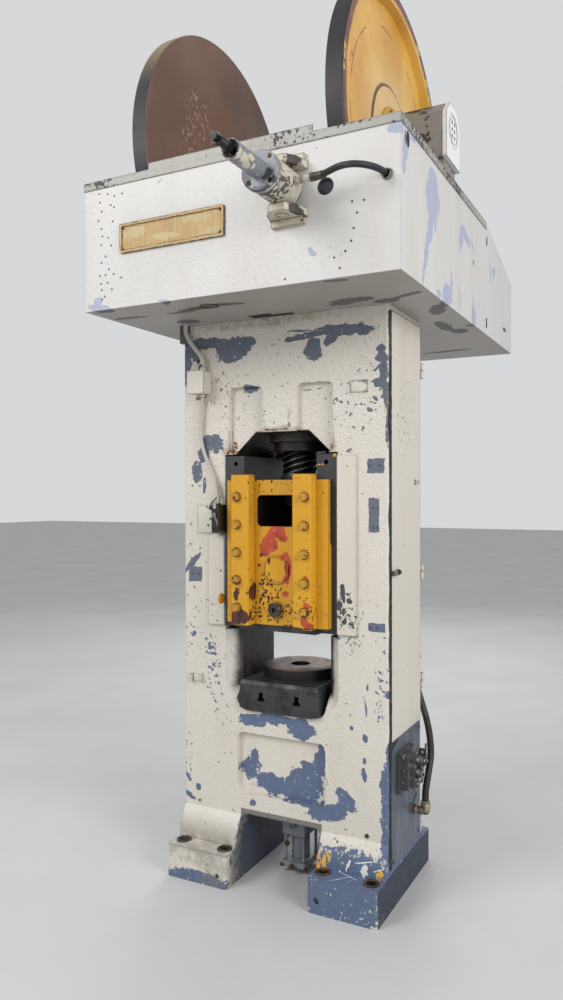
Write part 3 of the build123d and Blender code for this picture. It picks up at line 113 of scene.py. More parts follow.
class Graph:
    """A node material under construction."""

    def __init__(self, name):
        self.material = bpy.data.materials.new(name)
        self.material.use_nodes = True
        self.tree = self.material.node_tree
        self.tree.nodes.clear()
        self.output = self.tree.nodes.new("ShaderNodeOutputMaterial")
        self.shader = self.tree.nodes.new("ShaderNodeBsdfPrincipled")
        self.tree.links.new(self.shader.outputs[0], self.output.inputs["Surface"])
        self.place = self.tree.nodes.new("ShaderNodeTexCoord").outputs["Object"]
        self.normal = None
        self.facing = None

    def node(self, kind, **values):
        made = self.tree.nodes.new(kind)
        for key, value in values.items():
            setattr(made, key, value)
        return made

    def feed(self, socket, value):
        if isinstance(value, bpy.types.NodeSocket):
            self.tree.links.new(value, socket)
        else:
            socket.default_value = value

    def math(self, operation, a, b=0.0, c=None, clamp=False):
        made = self.node("ShaderNodeMath", operation=operation, use_clamp=clamp)
        self.feed(made.inputs[0], a)
        self.feed(made.inputs[1], b)
        if c is not None:
            self.feed(made.inputs[2], c)
        return made.outputs[0]

    def vector(self, operation, a, b=(0.0, 0.0, 0.0), out=0):
        made = self.node("ShaderNodeVectorMath", operation=operation)
        self.feed(made.inputs[0], a)
        self.feed(made.inputs[1], b)
        return made.outputs[out]

    def axis(self, name, at=None):
        made = self.node("ShaderNodeSeparateXYZ")
        self.feed(made.inputs[0], self.place if at is None else at)
        return made.outputs[name]

    def normal_axis(self, name):
        if self.facing is None:
            self.facing = self.node("ShaderNodeNewGeometry").outputs["True Normal"]
        return self.axis(name, self.facing)

    def stretched(self, factors, at=None):
        return self.vector("MULTIPLY", self.place if at is None else at, factors)

    def noise(self, scale, detail=4.0, rough=0.55, at=None, colour=False, distortion=0.0):
        made = self.node("ShaderNodeTexNoise")
        self.feed(made.inputs["Vector"], self.place if at is None else at)
        made.inputs["Scale"].default_value = scale
        made.inputs["Detail"].default_value = detail
        made.inputs["Roughness"].default_value = rough
        made.inputs["Distortion"].default_value = distortion
        return made.outputs["Color" if colour else "Fac"]

    def cells(self, scale, at=None, feature="F1", out="Distance", randomness=1.0):
        made = self.node("ShaderNodeTexVoronoi", feature=feature)
        self.feed(made.inputs["Vector"], self.place if at is None else at)
        made.inputs["Scale"].default_value = scale
        made.inputs["Randomness"].default_value = randomness
        return made.outputs[out]

    def ramp(self, value, low, high, to_low=0.0, to_high=1.0, smooth=True):
        made = self.node("ShaderNodeMapRange", interpolation_type="SMOOTHSTEP" if smooth else "LINEAR")
        self.feed(made.inputs["Value"], value)
        self.feed(made.inputs["From Min"], low)
        self.feed(made.inputs["From Max"], high)
        made.inputs["To Min"].default_value = to_low
        made.inputs["To Max"].default_value = to_high
        return made.outputs["Result"]

    def mix(self, factor, a, b, blend="MIX"):
        made = self.node("ShaderNodeMix", data_type="RGBA", blend_type=blend)
        self.feed(made.inputs["Factor"], factor)
        self.feed(made.inputs[6], a)
        self.feed(made.inputs[7], b)
        return made.outputs[2]

    def edge(self, radius, sharpness=1.0):
        """0 on flat areas, rising towards 1 on edges."""
        bevel = self.node("ShaderNodeBevel", samples=4)
        bevel.inputs["Radius"].default_value = radius
        true = self.node("ShaderNodeNewGeometry").outputs["Normal"]
        alike = self.vector("DOT_PRODUCT", bevel.outputs[0], true, out="Value")
        return self.math("MULTIPLY", self.math("SUBTRACT", 1.0, alike), sharpness, clamp=True)

    def ellipses(self, rows, warp):
        """The least scaled distance, up to REACH, to rows of (centre, radii, turn)."""
        near = None
        for centre, radii, turn in rows:
            made = self.node("ShaderNodeMapping", vector_type="TEXTURE")
            self.feed(made.inputs["Vector"], warp)
            made.inputs["Location"].default_value = centre
            made.inputs["Rotation"].default_value = turn
            made.inputs["Scale"].default_value = [REACH * radius for radius in radii]
            ball = self.node("ShaderNodeTexGradient", gradient_type="SPHERICAL")
            self.feed(ball.inputs[0], made.outputs[0])
            near = ball.outputs["Fac"] if near is None else self.math("MAXIMUM", near, ball.outputs["Fac"])
        return self.math("MULTIPLY", self.math("SUBTRACT", 1.0, near), REACH)

    def boxes(self, rows, warp):
        """The least scaled distance to rows of boxes given like ellipses."""
        least = None
        for centre, radii, turn in rows:
            made = self.node("ShaderNodeMapping", vector_type="TEXTURE")
            self.feed(made.inputs["Vector"], warp)
            made.inputs["Location"].default_value = centre
            made.inputs["Rotation"].default_value = turn
            made.inputs["Scale"].default_value = radii
            parts = self.node("ShaderNodeSeparateXYZ")
            self.feed(parts.inputs[0], self.vector("ABSOLUTE", made.outputs[0]))
            far = self.math("MAXIMUM", self.math("MAXIMUM", parts.outputs[0], parts.outputs[1]), parts.outputs[2])
            least = far if least is None else self.math("MINIMUM", least, far)
        return least

    def warped(self, scale, amount, detail=2.0):
        """The place, pushed about by noise."""
        colour = self.noise(scale, detail=detail, colour=True)
        push = self.vector("MULTIPLY", self.vector("SUBTRACT", colour, (0.5, 0.5, 0.5)), (amount, amount, amount))
        return self.vector("ADD", self.place, push)

    def bump(self, height, distance, strength=1.0):
        made = self.node("ShaderNodeBump")
        made.inputs["Distance"].default_value = distance
        made.inputs["Strength"].default_value = strength
        self.feed(made.inputs["Height"], height)
        if self.normal is not None:
            self.tree.links.new(self.normal, made.inputs["Normal"])
        self.normal = made.outputs[0]

    def done(self, colour, roughness, metallic=0.0, specular=0.5):
        self.feed(self.shader.inputs["Base Color"], colour)
        self.feed(self.shader.inputs["Roughness"], roughness)
        self.feed(self.shader.inputs["Metallic"], metallic)
        self.shader.inputs["Specular IOR Level"].default_value = specular
        if self.normal is not None:
            self.tree.links.new(self.normal, self.shader.inputs["Normal"])
        return self.material


def scaled(colour, *factors):
    """A colour with its channels multiplied."""
    factors = factors if len(factors) == 3 else factors * 3
    return (*(min(1.0, c * k) for c, k in zip(colour[:3], factors)), 1.0)


def paint(name, coat, under, patches=(), pads=(), casting=0.0, chips=0.6, edge_wear=0.5, grime=0.35,
          under_low=None, split=0.9, roughness=0.42, primer=None, extra=None, chip_scale=70.0, warp=0.03,
          edge_radius=0.010, ragged=0.8, speckle=None, flecks=False, calm=None):
    """Sprayed enamel that has chipped down to an older coat, on sheet or on a casting."""
    g = Graph(name)
    fine = g.noise(170.0, detail=3.0)
    broad = g.noise(2.3, detail=3.0)
    spots = g.noise(chip_scale, detail=3.0, rough=0.6)
    crowd = g.ramp(g.noise(3.1, detail=2.0), 0.35, 0.75)
    if speckle is not None:
        crowd = g.math("ADD", crowd, g.ramp(g.ellipses(speckle, g.place), 1.2, 0.5, 0.0, 1.1))
    limit = g.math("SUBTRACT", 0.80 - 0.05 * chips, g.math("MULTIPLY", crowd, 0.10 * chips))
    chip = g.ramp(g.math("SUBTRACT", spots, limit), 0.0, 0.012)
    if edge_wear:
        rim = g.edge(edge_radius, 2.6)
        if calm is not None:
            rim = g.math("MULTIPLY", rim, calm(g))
        bite = g.math("MULTIPLY", g.noise(26.0, detail=6.0, rough=0.75), 1.1)
        worn = g.math("ADD", g.math("MULTIPLY", rim, 0.9), bite)
        chip = g.math("MAXIMUM", chip, g.ramp(worn, 1.16 - 0.2 * edge_wear, 1.18 - 0.2 * edge_wear))
    thin = chip
    if patches or pads:
        moved = g.warped(13.0, warp, detail=3.0)
        teeth = g.math("MULTIPLY", g.math("SUBTRACT", g.noise(46.0, detail=6.0, rough=0.7), 0.5), ragged)
        if patches:
            bare = g.ramp(g.math("ADD", g.ellipses(patches, moved), teeth), 1.0, 0.98)
            if flecks:
                bare = g.math("MULTIPLY", bare, g.ramp(g.noise(58.0, detail=5.0, rough=0.7), 0.345, 0.36))
            chip = g.math("MAXIMUM", chip, bare)
        if pads:
            near = g.warped(30.0, 0.006, detail=3.0)
            far = g.math("ADD", g.boxes(pads, near), g.math("MULTIPLY", teeth, 0.35))
            chip = g.math("MAXIMUM", chip, g.ramp(far, 1.0, 0.98))
    dirt = g.noise(6.0, detail=6.0, rough=0.65, at=g.stretched((1.0, 1.0, 0.22)))
    dirt = g.ramp(dirt, 0.42, 0.78, 0.0, grime)
    shade = g.mix(dirt, coat, scaled(coat, 0.72, 0.68, 0.60))
    shade = g.mix(g.ramp(broad, 0.3, 0.7, 0.0, 0.18), shade, scaled(coat, 0.86))
    shade = g.mix(g.ramp(fine, 0.35, 0.75, 0.0, 0.10), shade, scaled(coat, 1.12))
    below = under
    if under_low is not None:
        height = g.math("ADD", g.axis("Z"), g.math("MULTIPLY", g.math("SUBTRACT", broad, 0.5), 0.3))
        below = g.mix(g.ramp(height, split - 0.15, split + 0.15), under_low, under)
    mottle = g.ramp(g.noise(26.0, detail=5.0), 0.35, 0.7, 0.0, 0.35)
    below = g.mix(mottle, below, scaled(under, 0.74))
    if primer is not None:
        below = g.mix(g.ramp(g.noise(9.0, detail=4.0), 0.40, 0.47), below, primer)
    colour = g.mix(chip, shade, below)
    if extra is not None:
        colour = extra(g, colour, chip)
    if casting:
        strong = g.ramp(g.axis("Z"), 1.35, 1.75, 0.35, 1.0)
        g.bump(g.math("MULTIPLY", g.noise(104.0, detail=1.5, rough=0.4), strong), 0.0038 * casting)
    g.bump(g.noise(120.0, detail=4.0), 0.0012 * (0.6 + casting))
    g.bump(g.math("SUBTRACT", 1.0, thin), 0.0009)
    rough = g.mix(chip, (roughness,) * 3 + (1.0,), (0.62, 0.62, 0.62, 1.0))
    rough = g.math("ADD", rough, g.math("MULTIPLY", g.math("SUBTRACT", fine, 0.5), 0.22))
    return g.done(colour, rough)


FRONT = -0.18
BUSH_X, BUSH_Y, BUSH_BORE = (0.207, 0.395), 0.247, 0.018
DEEP = 0.05
HEAD_FRONT, HEAD_SIDE, HEAD_UNDER = -0.562, 0.612, 2.172


def front(x, z, rx, rz, degrees=0.0, y=FRONT):
    return (x, y, z), (rx, DEEP, rz), (0.0, -math.radians(degrees), 0.0)


def side(y, z, ry, rz, degrees=0.0, x=HEAD_SIDE):
    return (x, y, z), (DEEP, ry, rz), (math.radians(degrees), 0.0, 0.0)


def below(x, y, rx, ry, degrees=0.0, z=HEAD_UNDER):
    return (x, y, z), (rx, ry, 0.015), (0.0, 0.0, math.radians(degrees))


column_patches = [
    front(0.265, 2.095, 0.115, 0.022, -3), front(0.330, 2.090, 0.035, 0.024), front(0.130, 2.088, 0.090, 0.015, 7),
    front(0.213, 2.062, 0.030, 0.018, 30), front(0.040, 2.078, 0.022, 0.012, 10), front(0.085, 2.108, 0.060, 0.004, -2),
    front(0.143, 2.022, 0.040, 0.034), front(0.145, 2.045, 0.034, 0.03), front(-0.200, 2.060, 0.080, 0.048, 4),
    front(-0.150, 2.085, 0.045, 0.022), front(-0.336, 2.097, 0.10, 0.022), front(-0.385, 2.060, 0.045, 0.030, -30),
    front(-0.420, 2.020, 0.022, 0.055), front(-0.430, 1.965, 0.014, 0.03), front(-0.300, 1.697, 0.055, 0.034, -22),
    front(-0.340, 1.655, 0.026, 0.03), front(-0.372, 1.585, 0.026, 0.048), front(-0.336, 1.532, 0.010, 0.028),
    front(-0.136, 1.903, 0.032, 0.016, 6, -0.165), front(0.108, 1.889, 0.018, 0.003, 4), front(0.158, 1.890, 0.013, 0.003),
    front(0.412, 2.016, 0.018, 0.016), front(0.413, 1.982, 0.024, 0.022), front(0.419, 1.930, 0.018, 0.040),
    front(0.405, 1.893, 0.026, 0.020, -20), front(0.425, 1.85, 0.012, 0.045), front(0.392, 1.944, 0.018, 0.004, 28),
    front(0.386, 1.902, 0.018, 0.004, 22), front(0.412, 1.842, 0.010, 0.005, 45), front(0.432, 1.77, 0.008, 0.10),
    front(-0.396, 1.224, 0.052, 0.013, 46), front(0.287, 1.655, 0.013, 0.006, 15),
    front(0.253, 1.832, 0.005, 0.005), front(0.317, 1.820, 0.007, 0.004), front(0.334, 1.819, 0.005, 0.005),
    front(0.363, 1.797, 0.012, 0.006, -40), front(0.384, 1.836, 0.006, 0.011, 40), front(0.379, 1.822, 0.008, 0.004, -20),
    front(-0.125, 0.618, 0.062, 0.024), front(-0.020, 0.637, 0.070, 0.024), front(0.088, 0.615, 0.060, 0.040),
    front(-0.138, 0.425, 0.045, 0.052), front(-0.125, 0.478, 0.018, 0.030), front(-0.040, 0.378, 0.11, 0.042, -8),
    front(0.092, 0.402, 0.092, 0.070, 15), front(0.158, 0.490, 0.030, 0.075, -8), front(0.065, 0.346, 0.095, 0.022, -10),
    front(0.120, 0.468, 0.05, 0.016, -14), front(0.195, 0.316, 0.085, 0.032, 8), front(0.270, 0.375, 0.030, 0.050, 40),
    front(0.240, 0.330, 0.05, 0.030, 40), front(0.440, 0.52, 0.018, 0.09), front(0.425, 0.43, 0.026, 0.10),
    front(0.432, 0.30, 0.024, 0.14), front(0.293, 0.643, 0.008, 0.010), front(0.348, 0.611, 0.012, 0.013),
    front(0.339, 0.532, 0.007, 0.013), front(0.339, 0.481, 0.009, 0.026, 10), front(-0.388, 0.932, 0.016, 0.008, 35),
    front(-0.417, 0.353, 0.022, 0.010, -38), front(-0.370, 0.317, 0.013, 0.012), front(-0.415, 0.285, 0.03, 0.010, -25),
    front(-0.119, 0.296, 0.014, 0.013), front(-0.125, 0.238, 0.035, 0.014), front(-0.105, 0.22, 0.02, 0.02),
    front(0.345, 0.72, 0.004, 0.030), front(0.352, 0.80, 0.004, 0.014), front(0.432, 0.78, 0.010, 0.014),
]
column_pads = [
    front(0.387, 1.597, 0.033, 0.027), front(0.380, 1.420, 0.020, 0.060), front(0.390, 1.017, 0.032, 0.016),
    front(-0.381, 1.176, 0.031, 0.030),
]
foot_patches = [
    ((0.30, -0.15, 0.085), (0.22, 0.30, 0.125), (0, 0, 0)), ((0.30, 0.15, 0.06), (0.22, 0.32, 0.14), (0, 0, 0)),
    ((0.43, 0.0, 0.30), (0.03, 0.22, 0.34), (0, 0, 0)),
    ((-0.30, -0.31, 0.012), (0.17, 0.05, 0.036), (0, 0, 0)), ((-0.17, 0.03, 0.10), (0.022, 0.28, 0.16), (0, 0, 0)),
    ((-0.30, 0.12, 0.03), (0.2, 0.22, 0.05), (0, 0, 0)), ((0.17, 0.0, 0.10), (0.022, 0.30, 0.16), (0, 0, 0)),
]
column_speckle = [front(-0.30, 0.80, 0.05, 0.16), front(0.405, 0.85, 0.035, 0.22), front(-0.42, 0.42, 0.03, 0.16),
                  front(0.28, 0.98, 0.06, 0.10), front(-0.10, 0.255, 0.2, 0.02)]


def column_calm(g):
    """0 in the sunk fields on the column's face, whose soft rims keep their paint."""
    z = g.axis("Z")
    upper = g.math("MULTIPLY", g.ramp(z, 1.742, 1.748), g.ramp(z, 2.03, 2.02))
    lower = g.math("MULTIPLY", g.ramp(z, 0.330, 0.335), g.ramp(z, 0.625, 0.620))
    inside = g.math("MULTIPLY", g.math("ADD", upper, lower), g.ramp(g.math("ABSOLUTE", g.axis("X")), 0.30, 0.29))
    return g.math("SUBTRACT", 1.0, inside, clamp=True)


def column_extra(g, colour, chip):
    """Grease with painted shade inside the throat and crown, painted shade on the arch, the column's right side, the
    right foot's flank and in the foot holes, brown grime with painted shade under the head, dabs of yellow and white
    marks on the right foot.
    """
    x, y, z = (g.axis(name) for name in "XYZ")
    wave = g.math("MULTIPLY", g.math("SUBTRACT", g.noise(9.0, detail=5.0), 0.5), 0.05)
    depth = g.math("ADD", g.math("ABSOLUTE", y), wave)
    rise = g.math("MULTIPLY", g.math("MAXIMUM", g.math("SUBTRACT", z, 1.651), 0.0), 1.07)
    rise = g.math("ADD", rise, g.ramp(z, 1.650, 1.652, 0.0, 0.035))
    across = g.math("ADD", g.math("ABSOLUTE", x), rise)
    inner = g.math("MULTIPLY", g.ramp(across, 0.2425, 0.2405), g.ramp(z, 0.655, 0.66))
    inner = g.math("MULTIPLY", inner, g.ramp(z, 1.740, 1.737))
    low = g.ramp(depth, 0.165, 0.135)
    high = g.ramp(depth, 0.172, 0.165)
    up = g.ramp(z, 1.40, 1.50)
    deep = g.math("ADD", g.math("MULTIPLY", high, up), g.math("MULTIPLY", low, g.math("SUBTRACT", 1.0, up)))
    # Grease and painted shade: the throat's and crown's walls further back than the front are darkened to near black.
    grease_and_shade = g.mix(g.ramp(g.noise(30.0, detail=4.0), 0.35, 0.7), srgb(40, 38, 37), srgb(62, 57, 52))
    colour = g.mix(g.math("MULTIPLY", inner, deep, clamp=True), colour, grease_and_shade)
    # Painted shade: the arch's walls and roof are darkened.
    arch = g.math("MULTIPLY", g.ramp(g.math("ABSOLUTE", x), 0.1735, 0.1725), g.ramp(z, 0.272, 0.268))
    arch = g.math("MULTIPLY", arch, g.ramp(depth, 0.29, 0.24))
    colour = g.mix(g.math("MULTIPLY", arch, 0.75), colour, srgb(52, 52, 56))
    # Painted shade: the column's right side face, from the front corner back to the door, is darkened to blue-black.
    strip = g.math("MULTIPLY", g.ramp(x, 0.4355, 0.4372), g.ramp(z, 0.13, 0.17))
    strip = g.math("MULTIPLY", strip, g.ramp(y, -0.1775, -0.1745))
    strip = g.math("MULTIPLY", strip, g.ramp(y, 0.17, 0.165))
    colour = g.mix(strip, colour, srgb(34, 38, 50))
    # Painted shade: the low part of the column's right side, at the foot, is darkened.
    flank = g.math("MULTIPLY", g.ramp(x, 0.4355, 0.437), g.ramp(g.math("ADD", z, wave), 0.16, 0.12))
    colour = g.mix(g.math("MULTIPLY", flank, 0.82), colour, srgb(34, 37, 46))
    # Brown grime near the throat's corners, the crown and the right edge; the wide band just under the head is painted
    # shade as well as grime.
    haze = g.ellipses([front(-0.225, 1.665, 0.040, 0.040), front(0.215, 1.675, 0.030, 0.035), front(0.0, 1.745, 0.13, 0.012),
                       front(0.045, 1.790, 0.010, 0.030), front(-0.05, 2.160, 0.40, 0.030), front(0.436, 1.90, 0.012, 0.25)], g.warped(14.0, 0.05, detail=4.0))
    colour = g.mix(g.math("MULTIPLY", g.ramp(haze, 1.1, 0.4), g.ramp(g.noise(34.0, detail=5.0), 0.35, 0.65, 0.15, 0.5)), colour, srgb(120, 92, 66))
    spots = g.ellipses([front(-0.218, 1.662, 0.028, 0.016), front(-0.205, 1.684, 0.016, 0.018), front(0.208, 1.668, 0.012, 0.014),
                        front(0.040, 1.756, 0.008, 0.008), front(-0.02, 1.742, 0.10, 0.004)], g.warped(60.0, 0.012))
    spots = g.math("ADD", spots, g.math("MULTIPLY", g.math("SUBTRACT", g.noise(75.0, detail=5.0, rough=0.7), 0.5), 3.2))
    colour = g.mix(g.ramp(spots, 0.9, 0.8), colour, g.mix(g.ramp(g.noise(120.0), 0.45, 0.55), srgb(40, 34, 32), srgb(198, 160, 130)))
    # Painted shade: the walls of the holes in the feet are painted near black.
    for bush in BUSH_X:
        flat = g.vector("MULTIPLY", g.vector("ABSOLUTE", g.place), (1.0, 1.0, 0.0))
        hole = g.vector("DISTANCE", flat, (bush, BUSH_Y, 0.0), out="Value")
        colour = g.mix(g.ramp(hole, BUSH_BORE + 0.0014, BUSH_BORE + 0.0006), colour, srgb(16, 16, 17))
    grimy = g.math("MULTIPLY", g.ramp(x, -0.16, -0.17), g.math("MULTIPLY", g.ramp(z, 0.24, 0.13), g.ramp(y, -0.18, -0.20)))
    soot = g.ramp(g.math("ADD", g.noise(11.0, detail=6.0, rough=0.7), g.math("MULTIPLY", g.ramp(z, 0.127, 0.16), 0.12)), 0.42, 0.62)
    colour = g.mix(g.math("MULTIPLY", grimy, g.math("MULTIPLY", soot, 0.55)), colour, srgb(126, 120, 108))
    moved = g.warped(90.0, 0.012)
    yellow = g.ellipses([((0.196, -0.212, 0.158), (0.030, 0.03, 0.028), (0, 0.5, 0)), ((0.176, -0.220, 0.14), (0.012, 0.03, 0.02), (0, 0, 0)),
                         ((0.414, -0.214, 0.146), (0.012, 0.02, 0.018), (0, 0.3, 0))], moved)
    torn = g.math("ADD", yellow, g.math("MULTIPLY", g.math("SUBTRACT", g.noise(60.0, detail=5.0, rough=0.75, at=g.stretched((1.0, 1.0, 0.3))), 0.5), 3.6))
    streaks = g.ramp(g.noise(52.0, detail=5.0, rough=0.7, at=g.stretched((1.0, 1.0, 0.3))), 0.44, 0.47)
    colour = g.mix(g.math("MULTIPLY", g.ramp(torn, 1.0, 0.96), streaks), colour, srgb(232, 178, 54))
    marks = g.ellipses([((0.354, -0.215, 0.150), (0.013, 0.02, 0.022), (0, 0.2, 0)), ((0.292, -0.213, 0.157), (0.0055, 0.02, 0.021), (0, 0.35, 0)),
                        ((0.285, -0.258, 0.127), (0.042, 0.0018, 0.01), (0, 0, 0.86)), ((0.410, -0.212, 0.164), (0.022, 0.02, 0.0018), (0, -0.4, 0)),
                        ((0.355, -0.210, 0.178), (0.04, 0.02, 0.0022), (0, -0.25, 0)), ((0.30, -0.23, 0.127), (0.05, 0.0016, 0.01), (0, 0, -0.35)),
                        ((0.190, -0.226, 0.127), (0.012, 0.003, 0.01), (0, 0, 0.3))], g.warped(60.0, 0.006))
    rub = g.math("ADD", marks, g.math("MULTIPLY", g.math("SUBTRACT", g.noise(95.0, detail=5.0, rough=0.75), 0.5), 2.8))
    return g.mix(g.ramp(rub, 1.0, 0.9), colour, srgb(226, 225, 220))


GIB_X, GIB_Z = 0.164, 1.603

head_patches = [
    side(-0.225, 2.545, 0.062, 0.045, -20), side(-0.228, 2.495, 0.085, 0.050), side(-0.238, 2.455, 0.062, 0.04),
    side(-0.262, 2.385, 0.030, 0.055, -14), side(-0.205, 2.42, 0.018, 0.03), side(-0.305, 2.30, 0.020, 0.075, -12),
    side(-0.330, 2.225, 0.012, 0.055, -14), side(0.140, 2.475, 0.026, 0.045, -8), side(0.205, 2.492, 0.075, 0.022, -14),
    side(0.125, 2.435, 0.014, 0.03), side(0.320, 2.480, 0.055, 0.006, -25), side(-0.520, 2.555, 0.028, 0.045, -20),
    side(-0.535, 2.50, 0.018, 0.03), side(-0.45, 2.605, 0.03, 0.010, 10), side(-0.055, 2.205, 0.060, 0.040, 12),
    side(0.0, 2.240, 0.014, 0.06), side(0.112, 2.232, 0.007, 0.050), side(0.145, 2.225, 0.005, 0.045),
    side(0.335, 2.205, 0.040, 0.045), side(0.325, 2.25, 0.012, 0.05), side(0.70, 2.47, 0.025, 0.03, -30),
    side(0.63, 2.45, 0.012, 0.05), side(-0.555, 2.60, 0.02, 0.022), side(-0.16, 2.19, 0.03, 0.012),
    front(-0.540, 2.178, 0.060, 0.014, -14, HEAD_FRONT), front(-0.555, 2.20, 0.02, 0.022, 0, HEAD_FRONT),
    front(-0.278, 2.597, 0.016, 0.004, 30, HEAD_FRONT), front(0.318, 2.264, 0.014, 0.009, -35, HEAD_FRONT),
    front(0.310, 2.275, 0.008, 0.010, 0, HEAD_FRONT), front(-0.26, 2.176, 0.02, 0.006, 0, HEAD_FRONT),
    below(-0.20, -0.425, 0.11, 0.018, -8), below(-0.30, -0.40, 0.06, 0.012, 8), below(-0.06, -0.425, 0.05, 0.018, 5),
    below(-0.52, -0.412, 0.075, 0.016, 6), below(0.385, -0.535, 0.048, 0.014, 10), below(0.335, -0.275, 0.085, 0.035),
    below(0.28, -0.245, 0.05, 0.02), below(0.44, -0.215, 0.05, 0.03), below(0.53, -0.255, 0.07, 0.018, -25),
    below(0.56, 0.0, 0.03, 0.085, 20), below(0.35, 0.865, 0.13, 0.020, -6), below(-0.36, -0.255, 0.05, 0.035),
    below(0.50, 0.30, 0.03, 0.10), below(-0.50, 0.10, 0.03, 0.12), below(0.53, 0.42, 0.04, 0.05),
]
head_speckle = [front(-0.57, 2.24, 0.05, 0.06, 0, HEAD_FRONT), front(0.40, 2.25, 0.06, 0.05, 0, HEAD_FRONT)]
head_dots = [front(x, z, 0.0045, 0.0045, 0, HEAD_FRONT) for x, z in (
    (0.454, 2.402), (0.493, 2.400), (0.470, 2.365), (0.459, 2.319), (0.451, 2.281), (0.431, 2.252), (0.393, 2.237),
    (0.412, 2.202), (0.220, 2.191),
    (-0.545, 2.599), (-0.506, 2.592), (-0.475, 2.58), (-0.44, 2.583), (-0.542, 2.567), (-0.492, 2.55), (-0.477, 2.54), (-0.534, 2.533), (-0.549, 2.501), (-0.483, 2.49), (-0.535, 2.469), (-0.531, 2.442), (-0.504, 2.433), (-0.537, 2.411), (-0.49, 2.403), (-0.517, 2.367), (-0.536, 2.346), (-0.502, 2.318), (-0.544, 2.298), (-0.517, 2.299), (-0.48, 2.298), (-0.446, 2.281), (-0.538, 2.269), (-0.508, 2.27), (-0.535, 2.246), (-0.488, 2.244), (-0.523, 2.221), (-0.534, 2.212))]


def head_extra(g, colour, chip):
    """Brown rust by the hole in the underside, dark dots on the front, and the whole underside darkened towards brown:
    grime and painted shade.
    """
    rust = g.ellipses([below(-0.17, -0.43, 0.13, 0.035, -8)], g.warped(18.0, 0.03))
    colour = g.mix(g.math("MULTIPLY", g.ramp(rust, 1.0, 0.6), 0.75), colour, srgb(108, 78, 58))
    dots = g.ellipses(head_dots, g.place)
    colour = g.mix(g.ramp(dots, 1.0, 0.8), colour, srgb(52, 56, 68))
    # Grime and painted shade: everything below the head's bottom edge is darkened towards brown, the chips more so.
    low = g.ramp(g.axis("Z"), 2.1735, 2.1715)
    dark = g.mix(g.math("MULTIPLY", low, g.math("MULTIPLY", chip, 0.75)), colour, srgb(58, 54, 50))
    return g.mix(g.math("MULTIPLY", low, 0.6), dark, srgb(88, 76, 58))


materials = {}
materials["column_casting"] = paint(
    "cream_casting", CREAM, srgb(100, 107, 122), column_patches + foot_patches, column_pads, casting=1.0, ragged=1.5, flecks=True, chips=1.15, edge_wear=0.9,
    under_low=BED_BLUE, split=1.05, calm=column_calm, extra=column_extra, speckle=column_speckle, edge_radius=0.012)
materials["head_housing"] = paint(
    "cream_head", HEAD_WHITE, srgb(176, 182, 202), head_patches, casting=0.22, chips=0.75, edge_wear=0.65, warp=0.028,
    ragged=0.7, speckle=head_speckle, extra=head_extra, edge_radius=0.008)
materials["lid"] = paint(
    "cream_lid", srgb(170, 167, 160), srgb(66, 66, 70), chips=1.5, edge_wear=1.2, grime=1.0, edge_radius=0.008,
    speckle=[((0.46, -0.5, 2.66), (0.16, 0.12, 0.03), (0, 0, 0)), ((0.20, -0.5, 2.665), (0.06, 0.12, 0.03), (0, 0, 0)), ((-0.55, -0.5, 2.64), (0.08, 0.1, 0.04), (0, 0, 0)),
             ((0.6, -0.15, 2.64), (0.08, 0.45, 0.08), (0, 0, 0))])
materials["cream_sheet"] = paint("cream_sheet", CREAM, SLATE, chips=0.8, edge_wear=0.8)
materials["gib_plate"] = paint("cream_plate", CREAM, SLATE, [
    front(0.262, 1.135, 0.010, 0.035, 0, -0.192), front(0.285, 1.105, 0.014, 0.010, 0, -0.192),
    front(0.245, 1.09, 0.010, 0.02, 0, -0.192), front(0.27, 1.03, 0.012, 0.01, 0, -0.192)],
    chips=1.1, edge_wear=0.8, speckle=[front(0.28, 1.08, 0.06, 0.1, 0, -0.192)])
materials["grimy_cream"] = paint("grimy_cream", srgb(150, 148, 146), srgb(74, 70, 64), [
    ((0.52, -0.125, 2.80), (0.05, 0.03, 0.09), (0, 0, 0.4)), ((0.50, -0.06, 2.895), (0.06, 0.05, 0.02), (0, 0, 0)),
    ((0.56, -0.125, 2.72), (0.03, 0.03, 0.05), (0, 0, 0)),
    ((0.53, -0.10, 2.88), (0.03, 0.05, 0.03), (0, 0, 0)), ((0.575, -0.125, 2.79), (0.012, 0.03, 0.07), (0, 0, 0))], chips=1.8, edge_wear=1.0, grime=1.0, ragged=2.4, warp=0.06)
materials["white_cover"] = paint("white_cover", srgb(240, 240, 240), SLATE, chips=0.4, edge_wear=0.9, grime=0.25)
materials["cylinder_paint"] = paint("cylinder_paint", srgb(206, 199, 184), srgb(86, 84, 84), [
    ((0.165, -0.69, 2.45), (0.022, 0.06, 0.05), (0, 0, 0)), ((0.20, -0.735, 2.405), (0.06, 0.02, 0.03), (0, 0, 0)),
    ((0.236, -0.742, 2.40), (0.07, 0.014, 0.06), (0, 0, 0)), ((0.30, -0.735, 2.50), (0.02, 0.012, 0.05), (0, 0, 0)),
    ((0.20, -0.60, 2.39), (0.03, 0.02, 0.03), (0, 0, 0)), ((0.30, -0.585, 2.41), (0.05, 0.010, 0.06), (0, 0, 0)),
    ((0.175, -0.66, 2.44), (0.014, 0.05, 0.022), (0, 0, 0)), ((0.185, -0.64, 2.42), (0.012, 0.03, 0.03), (0, 0, 0)),
    ((0.236, -0.738, 2.53), (0.06, 0.006, 0.02), (0, 0, 0)), ((0.236, -0.700, 2.528), (0.008, 0.022, 0.02), (0, 0, 0))],
    chips=1.9, edge_wear=1.5, grime=1.3, ragged=1.9, speckle=[((0.236, -0.70, 2.43), (0.10, 0.06, 0.08), (0, 0, 0))])
